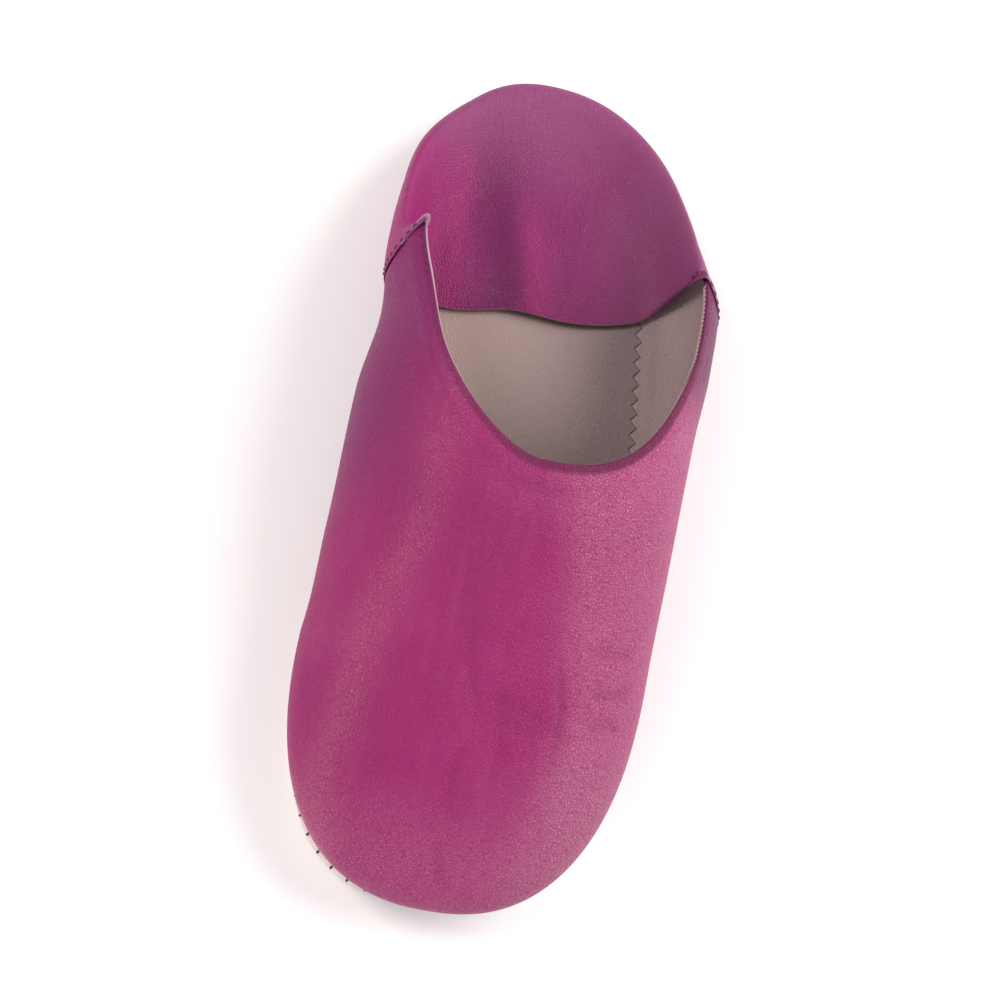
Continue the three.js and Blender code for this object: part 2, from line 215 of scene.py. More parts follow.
# Ribs and rows of the meshes. The vamp's rows lie closer together near the collar, and the
# inner faces keep one row in so many.
VAMP_RIBS = 361
VAMP_TUCK_ROWS = 14
VAMP_SHARES = np.concatenate([np.linspace(0, 0.9, 84)[:-1], np.linspace(0.9, 1.0, 28)])
VAMP_INNER_STEP = 4
QUARTER_RIBS = 301
QUARTER_TUCK_ROWS = 12
QUARTER_FOLD_ROWS = 22
QUARTER_FLAP_ROWS = 76
QUARTER_INNER_STEP = 3

# The camera's angles are in degrees, its clip start and the floor's reach in m.
CAMERA_AZIMUTH = -25.0
CAMERA_ELEVATION = 70.5
CAMERA_ROLL = 35.6
CAMERA_DISTANCE = 472.5
CAMERA_AIM = {"across": 1.7, "along": 121.0, "up": 15.0}
CAMERA_LENS = 55.93
CAMERA_SENSOR = 36.0
CAMERA_CLIP_START = 0.01
FLOOR_REACH = 3.0
WORLD_STRENGTH = 0.42
# Soft lights: where each stands from the slipper's middle in m, its power in W, its size.
LIGHTS = table(
    "name from power size tint",
    ("lateral_window", (0.76, 0.34, 0.52), 13.0, 1.0, (1.0, 0.97, 0.95)),
    ("medial_window", (-0.66, 0.2, 0.72), 5.2, 0.42, (1.0, 0.93, 0.89)),
    ("toe_fill", (-0.4, -0.85, 0.42), 4.2, 0.6, (1.0, 0.96, 1.0)),
)


def length_property(name, description, default):
    return bpy.props.FloatProperty(
        name=name, description=description + ", in mm", default=default, min=0.0, unit="NONE")


def colour_property(name, description, default):
    return bpy.props.FloatVectorProperty(
        name=name, description=description, subtype="COLOR", size=3, min=0.0, max=1.0, default=default)


class SlipperSizes(bpy.types.PropertyGroup):
    """Sizes of the visible details"""

    tooth_pitch: length_property("Tooth pitch", "Width of one tooth of the insole's edge", 5.0)
    tooth_depth: length_property("Tooth depth", "Depth of one tooth of the insole's edge", 2.3)
    lining_tooth_pitch: length_property("Lining tooth pitch", "Width of one tooth of the lining's edge", 1.5)
    lining_tooth_depth: length_property("Lining tooth depth", "Depth of one tooth of the lining's edge", 0.6)
    lining_margin: length_property("Lining margin", "How far the lining stops before the collar", 0.8)
    wing_margin: length_property("Wing margin", "How much earlier the lining stops on the outer wing", 1.4)
    tip_margin: length_property("Tip margin", "How much earlier the lining stops at the outer tip", 3.0)
    fold_margin: length_property(
        "Fold margin", "How far the lining stops before the fold and the inner tip", 9.0)
    sole_stitch_pitch: length_property("Sole stitch pitch", "Spacing of the stitches at the sole's edge", 5.8)
    seam_stitch_pitch: length_property("Seam stitch pitch", "Spacing of the stitches of the seams", 3.2)
    collar_stitch_pitch: length_property("Collar stitch pitch", "Spacing of the stitches of the collar", 3.0)
    thread_width: length_property("Thread width", "Thickness of the thread", 0.7)
    tip_edge_radius: length_property(
        "Tip edge radius", "Half thickness of the raw edge over the inner tip", 0.75)
    collar_roll: length_property("Collar roll", "How far the collar turns in at its edge", 1.3)
    collar_ridge: length_property("Collar ridge", "Height of the soft ridge beside the collar's roll", 0.35)
    lap_step: length_property("Lap step", "How far the back stands proud of the wings", 0.45)


class SlipperColours(bpy.types.PropertyGroup):
    """Colours of the slipper's materials"""

    vamp: colour_property("Vamp", "Dyed leather of the front", (0.287, 0.008, 0.117))
    quarter: colour_property("Back", "Dyed leather of the folded back", (0.225, 0.008, 0.118))
    # Paler and greyer towards the heel, and painted light on the flap's outer side.
    faded: colour_property("Faded", "Dyed leather of the back where it is faded", (0.262, 0.064, 0.17))
    # Painted shade on the wings.
    wing: colour_property("Wing", "Dyed leather of the wings", (0.185, 0.008, 0.10))
    # Painted light and highlight on the flap's ridge and along the inner wall.
    bright: colour_property(
        "Bright", "Dyed leather of the back where it has kept its dye", (0.30, 0.013, 0.135))
    # Painted shade in the flap's deepest trough.
    valley: colour_property("Valley", "Dyed leather in the back's deepest trough", (0.11, 0.008, 0.075))
    # Paler outer side of the vamp: partly wear, partly painted sheen; at the toe, painted sheen.
    worn: colour_property("Worn", "Dyed leather worn paler on the outer side", (0.39, 0.11, 0.20))
    # Painted sheen along the polished inner side of the vamp.
    sheen: colour_property("Sheen", "Dyed leather polished on the inner side", (0.42, 0.125, 0.175))
    # Partly scuffing, partly painted sheen on the toe's outer side.
    scuffed: colour_property("Scuffed", "Dyed leather scuffed at the toe's outer side", (0.40, 0.17, 0.24))
    # Painted highlight in a band beside the collar's roll, by the throat.
    rubbed: colour_property("Rubbed", "Dyed leather rubbed paler by the throat", (0.46, 0.10, 0.25))
    lining: colour_property("Lining", "Undyed lining leather", (0.385, 0.285, 0.285))
    insole: colour_property("Insole", "Undyed leather of the insole", (0.29, 0.22, 0.222))
    # Painted light on the insole's inner side.
    insole_lit: colour_property("Pale insole", "Insole leather towards the inner side", (0.495, 0.358, 0.33))
    sole: colour_property("Sole", "Undyed leather of the sole", (0.74, 0.60, 0.56))
    raw_edge: colour_property("Raw edge", "Cut edge of the collar", (0.53, 0.38, 0.43))
    tip_edge: colour_property("Tip edge", "Raw edge of the back over the inner tip", (0.36, 0.19, 0.27))
    brown_edge: colour_property("Brown edge", "Cut edge of the folded back", (0.22, 0.13, 0.12))
    # The insole's cut edge, darkened with painted shadow from the gap beside it.
    shadowed_cut_edge: colour_property("Dark edge", "Cut edge of the insole", (0.17, 0.115, 0.11))
    thread: colour_property("Thread", "Sewing thread", (0.016, 0.008, 0.01))
    floor: colour_property("Floor", "Plain pale floor", (0.92, 0.92, 0.92))


def sizes():
    return bpy.context.scene.slipper_sizes


def colours():
    return bpy.context.scene.slipper_colours


def dye(key):
    return tuple(getattr(colours(), key))


def side_name(side):
    return "inner" if side < 0 else "outer"


def mix(start, end, share):
    return start + (end - start) * share


def smooth(share):
    share = np.clip(share, 0.0, 1.0)
    return share * share * (3.0 - 2.0 * share)


def rising(value, start, width):
    """0 up to the start, growing to 1 over the width."""
    return smooth((value - start) / width)


def falling(value, end, width):
    """1, shrinking over the width to 0 at the end."""
    return smooth((end - value) / width)


def hump(value, middle, width):
    return np.exp(-((value - middle) / width) ** 2)


def zigzag(teeth):
    """From 0 to 1 and back, once for each tooth."""
    return 1 - np.abs(2 * (teeth % 1.0) - 1)


def unit(vectors):
    return vectors / np.linalg.norm(vectors, axis=-1, keepdims=True)


def length_along(path):
    """Length from a path's first point to each of its points."""
    steps = np.linalg.norm(np.diff(path, axis=0), axis=-1)
    return np.concatenate([[0.0], np.cumsum(steps)])


def through(rows, column, along):
    """A smooth curve through the rows of a table, level beyond its ends."""
    knots = np.array([row["along"] for row in rows], float)
    values = np.array([row[column] for row in rows], float)
    order = np.arange(len(rows))
    before = np.maximum(order - 1, 0)
    after = np.minimum(order + 1, len(rows) - 1)
    slopes = (values[after] - values[before]) / (knots[after] - knots[before])
    at = np.clip(np.asarray(along, float), knots[0], knots[-1])
    i = np.searchsorted(knots[1:-1], at, side="left")
    span = knots[i + 1] - knots[i]
    t = (at - knots[i]) / span
    near = values[i] * (1 + 2 * t) + slopes[i] * span * t
    far = values[i + 1] * (3 - 2 * t) - slopes[i + 1] * span * (1 - t)
    return near * (1 - t) ** 2 + far * t ** 2


def half_width(along, side):
    return through(SOLE_HALF_WIDTHS, side_name(side), along)


def overhang(along, side):
    return through(OVERHANG, side_name(side), np.maximum(along, BALL_AT))


def widest_up(along):
    return through(OVERHANG, "up", along)


def lift(along):
    toe = TOE_SPRING * np.maximum(0.0, 1 - along / TOE_SPRING_LENGTH) ** 2
    from_arch = np.clip((along - ARCH_AT) / ARCH_HALF_LENGTH, -1.0, 1.0)
    return toe + ARCH_LIFT * (1 + np.cos(np.pi * from_arch)) / 2


def bow(along):
    share = np.asarray(along, float) / SOLE_LENGTH
    return OUTWARD_BOW * 4 * share * (1 - share)


def outline(key, side, grow, toe_grow=None, form="sole"):
    """One side of the sole's outline as (across, along): toe to key 1, side to 2, heel to 3."""
    key = np.asarray(key, float)
    toe_grow = grow if toe_grow is None else toe_grow
    turn = np.clip(key, 0, 1) * np.pi / 2
    power = 2 / TOE_ROUNDNESS[form][side_name(side)]
    toe_along = BALL_AT - (BALL_AT + toe_grow) * np.maximum(np.cos(turn), 0) ** power
    toe_across = (half_width(BALL_AT, side) + grow) * np.sin(turn) ** power
    side_along = mix(BALL_AT, HEEL_AT, np.clip(key, 1, 2) - 1)
    side_across = half_width(side_along, side) + grow
    turn = (np.clip(key, 2, 3) - 2) * np.pi / 2
    depth = SOLE_LENGTH - HEEL_AT + grow
    heel_along = HEEL_AT + depth * np.sin(turn) ** (2 / HEEL_ROUNDNESS)
    heel_across = (half_width(HEEL_AT, side) + grow) * np.maximum(np.cos(turn), 0) ** (2 / HEEL_ROUNDNESS)
    along = np.where(key <= 1, toe_along, np.where(key <= 2, side_along, heel_along))
    across = np.where(key <= 1, toe_across, np.where(key <= 2, side_across, heel_across))
    return np.stack([side * across, along], axis=-1)


def widest_outline(key, side):
    grow = overhang(outline(key, side, 0.0)[..., 1], side)
    return outline(key, side, grow, OVERHANG[0]["inner"], "last")


LENGTH_KEYS = np.linspace(0.0, 3.0, 3001)


def sole_cut(keys):
    return through(SOLE_CUT, "inner", keys)


SIDE_LENGTHS = {side: length_along(outline(LENGTH_KEYS, side, 0.0)) for side in (-1, 1)}


def length_at_along(along, side):
    key = 1 + (along - BALL_AT) / (HEEL_AT - BALL_AT)
    return np.interp(key, LENGTH_KEYS, SIDE_LENGTHS[side])


def find_origin():
    """Where the solids' frame has its origin, from the outsole's own box."""
    low, high = (np.array(corner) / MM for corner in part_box("outsole"))
    keys = np.linspace(0.0, 3.0, 601)
    spots = np.concatenate([outline(keys, -1, 0.0), outline(keys, 1, 0.0)])
    across = spots[:, 0] + bow(spots[:, 1])
    return np.array([(across.min() + across.max() - low[0] - high[0]) / 2, -low[1], 0.0])


ORIGIN = find_origin()


def place(across, along, up):
    """Points of the slipper in mm, in the solids' frame."""
    across, along, up = np.broadcast_arrays(across, along, up)
    return np.stack([across + bow(along), along, up + lift(along)], axis=-1) - ORIGIN


def last_up(across, along, side):
    """Height of the last's surface over a point inside its widest line."""
    sideways = np.abs(across) / (half_width(along, side) + overhang(along, side))
    forward = np.maximum(BALL_AT - along, 0) / (BALL_AT + OVERHANG[0]["inner"])
    power = TOE_ROUNDNESS["last"][side_name(side)]
    out = (sideways ** power + forward ** power) ** (1 / power)
    rise = np.maximum(1 - out ** CROWN_ROUNDNESS, 0) ** (1 / CROWN_ROUNDNESS)
    return mix(widest_up(along), through(CROWN, "up", along), rise)


def collar_point(turn, side, seam_at):
    roundness, reach = COLLAR[side_name(side)]["roundness"], COLLAR[side_name(side)]["reach"]
    angle = np.abs(turn) * np.pi / 2
    along = mix(seam_at, THROAT_AT, np.maximum(np.cos(angle), 0) ** (2 / roundness))
    width = half_width(along, side) + overhang(along, side)
    return np.stack([side * reach * width * np.sin(angle) ** (2 / roundness), along], axis=-1)


def tuck_rows(foot, widest, widest_height, count):
    angles = np.linspace(0, np.pi / 2, count, endpoint=False)[None, :]
    spot = mix(foot[:, None], widest[:, None], np.sin(angles)[..., None])
    return place(spot[..., 0], spot[..., 1], mix(widest_height[:, None], UPPER_FOOT, np.cos(angles)))


def vamp_side(turns, side):
    """Ribs of one side of the vamp, from the sole up to the collar."""
    seam = SEAM[side_name(side)]
    length = np.abs(turns) * length_at_along(seam["foot"] - SEAM_GAP / 2, side)
    key = np.interp(length, SIDE_LENGTHS[side], LENGTH_KEYS)
    foot = outline(key, side, -UPPER_INSET)
    widest = widest_outline(key, side)
    collar = collar_point(turns, side, seam["tip"] - SEAM_GAP / 2)
    height = widest_up(widest[:, 1])
    inward = (1 - np.cos(VAMP_SHARES * np.pi / 2))[None, :, None]
    spot = mix(widest[:, None], collar[:, None], inward)
    up = last_up(spot[..., 0], spot[..., 1], side)
    up[:, 0] = height
    tuck = tuck_rows(foot, widest, height, VAMP_TUCK_ROWS)
    return np.concatenate([tuck, place(spot[..., 0], spot[..., 1], up)], axis=1)


def vamp_skin(rib_count):
    turns = np.linspace(-1, 1, rib_count)
    return np.concatenate([vamp_side(turns[turns < 0], -1), vamp_side(turns[turns >= 0], 1)])


def seam_end(side):
    """Where the back starts at a seam: its fold, its crest and the flap's corner past the tip."""
    seam = SEAM[side_name(side)]
    foot_key = 1 + (seam["foot"] + SEAM_GAP / 2 - BALL_AT) / (HEEL_AT - BALL_AT)
    widest = widest_outline(np.array(foot_key), side)
    tip = collar_point(np.array(float(side)), side, seam["tip"] + SEAM_GAP / 2)
    fold = float(np.hypot(*(tip - widest)))
    crest = float(last_up(tip[0], tip[1], side)) + CREST_ABOVE_COLLAR
    corner = mix(widest, tip, (fold + FLAP_LIP) / fold)
    row = {"along": side, "across": corner[0], "front": corner[1], "up": crest - FLAP_LIP_DROP}
    return {"fold": fold, "crest": crest, "corner": row}


SEAM_ENDS = {side: seam_end(side) for side in (-1, 1)}
WHOLE_FLAP_EDGE = (SEAM_ENDS[-1]["corner"], *FLAP_EDGE, SEAM_ENDS[1]["corner"])


def flap_fall(inward, length):
    """How far the flap has come down from its crest, levelling out where it is long."""
    share = np.minimum(inward / np.minimum(length, FLAP_SLOPE_LENGTH), 1)
    levelling = np.minimum(length / FLAP_SLOPE_LENGTH, 1) ** 2
    return mix(share ** 2, (1 - np.cos(np.pi * share)) / 2, levelling)


def quarter_side(turns, side):
    """Ribs of one side of the back, from the sole over the fold to the flap's cut edge."""
    near_seam = np.abs(turns)
    end = SEAM_ENDS[side]
    seam_length = length_at_along(SEAM[side_name(side)]["foot"] + SEAM_GAP / 2, side)
    key = np.interp(mix(SIDE_LENGTHS[side][-1], seam_length, near_seam), SIDE_LENGTHS[side], LENGTH_KEYS)
    foot = outline(key, side, -UPPER_INSET)
    widest = widest_outline(key, side)
    crest = mix(CREST_AT_BACK, end["crest"], near_seam ** CREST_FALL_POWER)
    height = np.minimum(widest_up(widest[:, 1]), crest - FOLD_AT_BACK)
    edge = np.stack([through(WHOLE_FLAP_EDGE, column, turns) for column in ("across", "front")], axis=-1)
    edge_up = through(WHOLE_FLAP_EDGE, "up", turns)[:, None]
    reach = np.hypot(*(edge - widest).T)
    room = reach * end["fold"] / (end["fold"] + FLAP_LIP)
    fold = np.minimum(mix(FOLD_AT_BACK, end["fold"], near_seam ** FOLD_GROWTH_POWER), room)
    angles = np.linspace(0, np.pi / 2, QUARTER_FOLD_ROWS, endpoint=False)[None, :]
    fold_in = fold[:, None] * (1 - np.cos(angles))
    fold_share = np.append(fold_in, fold[:, None], axis=1) / reach[:, None]
    fold_spot = mix(widest[:, None], edge[:, None], fold_share[..., None])
    last_rise = last_up(fold_spot[..., 0], fold_spot[..., 1], side) - height[:, None]
    like_last = last_rise[:, :-1] / last_rise[:, -1:]
    rise = mix(np.sin(angles), like_last, near_seam[:, None] ** FOLLOW_LAST_POWER)
    fold_up = mix(height[:, None], crest[:, None], rise)
    flap_in = (reach - fold)[:, None] * np.linspace(0, 1, QUARTER_FLAP_ROWS)[None, :]
    flap_up = mix(crest[:, None], edge_up, flap_fall(flap_in, (reach - fold)[:, None]))
    inward = np.concatenate([fold_in, fold[:, None] + flap_in], axis=1)
    up = np.concatenate([fold_up, flap_up], axis=1)
    spot = mix(widest[:, None], edge[:, None], (inward / reach[:, None])[..., None])
    up += flap_ripple(spot[..., 0], spot[..., 1], inward - fold[:, None], (reach - fold)[:, None])
    tuck = tuck_rows(foot, widest, height, QUARTER_TUCK_ROWS)
    return np.concatenate([tuck, place(spot[..., 0], spot[..., 1], up)], axis=1)


def flap_ripple(across, along, inward, reach):
    """Soft ridges of the folded back, fading out at the fold."""
    to_back = np.clip((along - FLAP_FRONT_AT) / FLAP_DEPTH, 0, 1)
    height = np.zeros_like(across)
    for ridge in FLAP_RIDGES:
        aside = across - mix(ridge["front"], ridge["back"], to_back)
        bump = hump(aside, 0.0, np.where(aside < 0, ridge["inner"], ridge["outer"]))
        height += ridge["height"] * mix(1.0, ridge["left_at_back"], to_back) * bump
    height *= mix(RIDGE_LEFT_AT_EDGE, 1.0, falling(inward, reach, RIDGE_EDGE_LENGTH))
    height *= rising(reach, RIDGE_SHORTEST_FLAP, RIDGE_FLAP_GROWTH)
    return height * rising(inward, 0.0, RIDGE_FOLD_LENGTH)


def quarter_skin(rib_count):
    turns = np.linspace(1, -1, rib_count)
    return np.concatenate([quarter_side(turns[turns >= 0], 1), quarter_side(turns[turns < 0], -1)])


def normals_of(skin, widest_row):
    """Outward directions of a skin, kept in the seam's own plane at its two end ribs."""
    outward = np.cross(np.gradient(skin, axis=0), np.gradient(skin, axis=1))
    for rib in (0, -1):
        run = skin[rib, -1] - skin[rib, widest_row]
        slanted = np.array([-run[1], run[0], 0.0]) / np.hypot(run[0], run[1])
        slanted *= np.sign(slanted[1])
        rise = skin[rib, :, 2] - skin[rib, widest_row, 2]
        rise[:widest_row] = 0
        across = mix(np.array([0.0, 1.0, 0.0]), slanted, np.clip(rise / SEAM_TURN_HEIGHT, 0, 1)[:, None])
        across = unit(across)
        outward[rib] -= np.sum(outward[rib] * across, axis=-1, keepdims=True) * across
    return outward / np.maximum(np.linalg.norm(outward, axis=-1, keepdims=True), 1e-9)


def distance_from_end(skin):
    """Length along each rib from every point to the rib's last point."""
    steps = np.linalg.norm(np.diff(skin, axis=1), axis=-1)
    done = np.concatenate([np.zeros((len(skin), 1)), np.cumsum(steps, axis=1)], axis=1)
    return done[:, -1:] - done


def ring_faces(rib_count, row_count):
    """Quads of a tube of ribs whose rows close on themselves, with its two end caps."""
    rib, row = np.meshgrid(np.arange(rib_count - 1), np.arange(row_count), indexing="ij")
    after = (row + 1) % row_count
    quads = np.stack([
        rib * row_count + row, (rib + 1) * row_count + row,
        (rib + 1) * row_count + after, rib * row_count + after], axis=-1).reshape(-1, 4)
    last = (rib_count - 1) * row_count
    caps = [list(range(row_count)), [last + i for i in reversed(range(row_count))]]
    return quads.tolist() + caps


def sheet_faces(rib_count, row_count, closed=False):
    ribs = rib_count if closed else rib_count - 1
    rib, row = np.meshgrid(np.arange(ribs), np.arange(row_count - 1), indexing="ij")
    after = (rib + 1) % rib_count
    return np.stack([
        rib * row_count + row, after * row_count + row,
        after * row_count + row + 1, rib * row_count + row + 1], axis=-1).reshape(-1, 4).tolist()


def thicken(skin, widest_row, wall, inner_step, edge_share=1.0, rim_rows=7):
    """A skin with a rounded rim at its last row and an inner face, as one ring of rows.

    The wall thins to its edge share towards the rim. Returns the points and two row
    masks: the rim and the inner face.
    """
    outward = normals_of(skin, widest_row)
    depth = (wall * mix(edge_share, 1.0, smooth(distance_from_end(skin) / SKIVED_LENGTH)))[..., None]
    tangent = unit(skin[:, -1] - skin[:, -2])
    end_normal, radius = outward[:, -1], depth[:, -1] / 2
    middle = skin[:, -1] - end_normal * radius
    angles = np.linspace(0, np.pi, rim_rows + 2)[1:-1]
    rim = np.stack(
        [middle + radius * (math.cos(a) * end_normal + math.sin(a) * tangent) for a in angles], axis=1)
    kept = np.arange(skin.shape[1] - 1, -1, -inner_step)
    if kept[-1] != 0:
        kept = np.append(kept, 0)
    inner = (skin - outward * depth)[:, kept]
    points = np.concatenate([skin, rim, inner], axis=1)
    row = np.arange(points.shape[1])
    inside = row >= skin.shape[1] + rim_rows
    on_rim = (row >= skin.shape[1]) & ~inside
    return points, on_rim.astype(float), inside.astype(float)


def make_mesh(name, points, faces, material, attributes=None):
    """A smooth-shaded object from points in mm."""
    mesh = bpy.data.meshes.new(name)
    mesh.from_pydata((points.reshape(-1, 3) * MM).tolist(), [], faces)
    mesh.polygons.foreach_set("use_smooth", [True] * len(mesh.polygons))
    for key, values in (attributes or {}).items():
        layer = mesh.attributes.new(key, "FLOAT", "POINT")
        layer.data.foreach_set("value", np.ascontiguousarray(values, dtype=np.float32).ravel())
    mesh.validate()
    mesh.update()
    mesh.materials.append(material)
    obj = bpy.data.objects.new(name, mesh)
    bpy.context.scene.collection.objects.link(obj)
    return obj


def settle(obj, slot_name, *nodes):
    """Ties a finished piece to the slipper's body and hides the solids it stands for; the slot name is not
    used.
    """
    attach(obj, "root")
    if nodes:
        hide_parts(*nodes)


# Materials


def set_socket(tree, socket, value):
    """Links a socket to another one, or sets its number or colour."""
    if isinstance(value, bpy.types.NodeSocket):
        tree.links.new(value, socket)
    elif isinstance(value, (int, float)):
        socket.default_value = value
    else:
        socket.default_value = (*value, 1.0)


def set_inputs(tree, node, inputs):
    for key, value in inputs.items():
        set_socket(tree, node.inputs[key.replace("_", " ")], value)
    return node


def add_node(tree, kind, **inputs):
    return set_inputs(tree, tree.nodes.new(kind), inputs)


def add_group(tree, group, **inputs):
    node = tree.nodes.new("ShaderNodeGroup")
    node.node_tree = group
    return set_inputs(tree, node, inputs).outputs


def add_mark(tree, name):
    node = tree.nodes.new("ShaderNodeAttribute")
    node.attribute_name = name
    return node.outputs["Fac"]


def add_math(tree, operation, *values):
    node = tree.nodes.new("ShaderNodeMath")
    node.operation = operation
    for socket, value in zip(node.inputs, values):
        set_socket(tree, socket, value)
    return node.outputs[0]


def add_mix(tree, factor, first, second):
    node = tree.nodes.new("ShaderNodeMix")
    node.data_type = "RGBA"
    for index, value in ((0, factor), (6, first), (7, second)):
        set_socket(tree, node.inputs[index], value)
    return node.outputs[2]


def add_stretch(tree, where, stretch, added=None):
    """Places stretched by a factor for each axis, and added to others if there are any."""
    node = tree.nodes.new("ShaderNodeVectorMath")
    node.operation = "MULTIPLY" if added is None else "MULTIPLY_ADD"
    tree.links.new(where, node.inputs[0])
    node.inputs[1].default_value = stretch
    if added is not None:
        tree.links.new(added, node.inputs[2])
    return node.outputs[0]


def add_folds(tree, noise, sharpness, amount):
    """Valleys where a noise crosses its middle."""
    aside = add_math(tree, "ABSOLUTE", add_math(tree, "SUBTRACT", noise, NOISE_MIDDLE))
    swell = add_math(tree, "MINIMUM", add_math(tree, "MULTIPLY", aside, sharpness), 1.0)
    return add_math(tree, "MULTIPLY", swell, amount)


def new_group(name, inputs, outputs):
    """A node group with its inputs by name and default, and its outputs by name."""
    group = bpy.data.node_groups.new(name, "ShaderNodeTree")
    for label, default in inputs.items():
        kind = "NodeSocketColor" if isinstance(default, tuple) else "NodeSocketFloat"
        group.interface.new_socket(label, in_out="INPUT", socket_type=kind).default_value = default
    for label in outputs:
        kind = "NodeSocketColor" if label == "Color" else "NodeSocketFloat"
        group.interface.new_socket(label, in_out="OUTPUT", socket_type=kind)
    return group, group.nodes.new("NodeGroupInput").outputs, group.nodes.new("NodeGroupOutput").inputs


NOISE_MIDDLE = 0.5
NOISE_RANGE = (0.3, 0.7)
# The grain's places wander a little, so that no pebble or wrinkle is straight.
WANDER_SCALE = 300.0
WANDER_REACH = (0.0012, 0.0012, 0.0012)
PEBBLE_STEEPNESS = 2.6
PEBBLE_ROUNDNESS = 0.55
WRINKLE_SHARPNESS = 6.0
CRIMP_SHARPNESS = 7.0
STREAK_STRETCH = (1.0, 0.15, 0.5)
CRIMP_STRETCH = (0.45, 1.0, 0.6)


def leather_grain_group():
    """Pebbles, wrinkles, brushed streaks and patches of leather."""
    name = "Leather grain"
    if name in bpy.data.node_groups:
        return bpy.data.node_groups[name]
    group, given, out = new_group(name, {
        "Pebble Scale": 900.0, "Wrinkle Scale": 260.0, "Wrinkle Amount": 0.6, "Patch Scale": 22.0,
        "Streak Scale": 160.0, "Crimp Scale": 420.0, "Crimp Amount": 0.0,
    }, ("Height", "Pores", "Patch", "Streak"))
    where = group.nodes.new("ShaderNodeTexCoord").outputs["Object"]

    wander = add_node(group, "ShaderNodeTexNoise", Vector=where, Scale=WANDER_SCALE, Detail=2.0)
    bent = add_stretch(group, wander.outputs["Color"], WANDER_REACH, where)

    pebble = add_node(group, "ShaderNodeTexVoronoi", Vector=bent, Scale=given["Pebble Scale"])
    pebble.feature = "DISTANCE_TO_EDGE"
    dome = add_math(group, "MULTIPLY", pebble.outputs["Distance"], PEBBLE_STEEPNESS)
    dome = add_math(group, "POWER", add_math(group, "MINIMUM", dome, 1.0), PEBBLE_ROUNDNESS)

    wrinkle = add_node(
        group, "ShaderNodeTexNoise", Vector=bent, Scale=given["Wrinkle Scale"], Detail=5.0,
        Roughness=0.62, Distortion=0.6)
    fold = add_folds(group, wrinkle.outputs["Fac"], WRINKLE_SHARPNESS, given["Wrinkle Amount"])

    crimp = add_node(
        group, "ShaderNodeTexNoise", Vector=add_stretch(group, bent, CRIMP_STRETCH),
        Scale=given["Crimp Scale"], Detail=3.0, Roughness=0.55, Distortion=0.8)
    crimped = add_folds(group, crimp.outputs["Fac"], CRIMP_SHARPNESS, given["Crimp Amount"])

    patch = add_node(
        group, "ShaderNodeTexNoise", Vector=where, Scale=given["Patch Scale"], Detail=3.0, Roughness=0.5)
    streak = add_node(
        group, "ShaderNodeTexNoise", Vector=add_stretch(group, where, STREAK_STRETCH),
        Scale=given["Streak Scale"], Detail=4.0, Roughness=0.6)

    height = add_math(group, "ADD", add_math(group, "ADD", dome, fold), crimped)
    group.links.new(height, out["Height"])
    group.links.new(add_math(group, "SUBTRACT", 1.0, dome), out["Pores"])
    group.links.new(patch.outputs["Fac"], out["Patch"])
    group.links.new(streak.outputs["Fac"], out["Streak"])
    return group


def tone_group():
    """Uneven dye: a colour that drifts darker and lighter over the hide and in its pores."""
    name = "Uneven dye"
    if name in bpy.data.node_groups:
        return bpy.data.node_groups[name]
    group, given, out = new_group(name, {
        "Color": (0.5, 0.5, 0.5, 1.0), "Deep": (0.3, 0.3, 0.3, 1.0), "Pale": (0.7, 0.7, 0.7, 1.0),
        "Patch": 0.5, "Streak": 0.5, "Pores": 0.0,
        "Amount": 0.35, "Streak Amount": 0.3, "Pore Depth": 0.3,
    }, ("Color",))
    colour = given["Color"]
    for source, amount in (("Patch", "Amount"), ("Streak", "Streak Amount")):
        stretch = group.nodes.new("ShaderNodeMapRange")
        for socket, value in zip(stretch.inputs, (given[source], *NOISE_RANGE, -1.0, 1.0)):
            set_socket(group, socket, value)
        swing = add_math(group, "MULTIPLY", stretch.outputs[0], given[amount])
        lighter = add_math(group, "MAXIMUM", swing, 0.0)
        darker = add_math(group, "MAXIMUM", add_math(group, "MULTIPLY", swing, -1.0), 0.0)
        colour = add_mix(group, lighter, colour, given["Pale"])
        colour = add_mix(group, darker, colour, given["Deep"])
    pores = add_math(group, "MULTIPLY", given["Pores"], given["Pore Depth"])
    group.links.new(add_mix(group, pores, colour, given["Deep"]), out["Color"])
    return group


def shade(colour, factor):
    return tuple(max(0.0, min(1.0, channel * factor)) for channel in colour)


# Marks that pale only the tops of the grain and leave its pores dark.
ON_GRAIN_TOPS = ("worn", "sheen", "scuffed", "rubbed")
PORE_COVER = 1.1
POLISH = 0.1


def new_material(name):
    material = bpy.data.materials.new(name)
    material.use_nodes = True
    return material, material.node_tree, material.node_tree.nodes["Principled BSDF"]


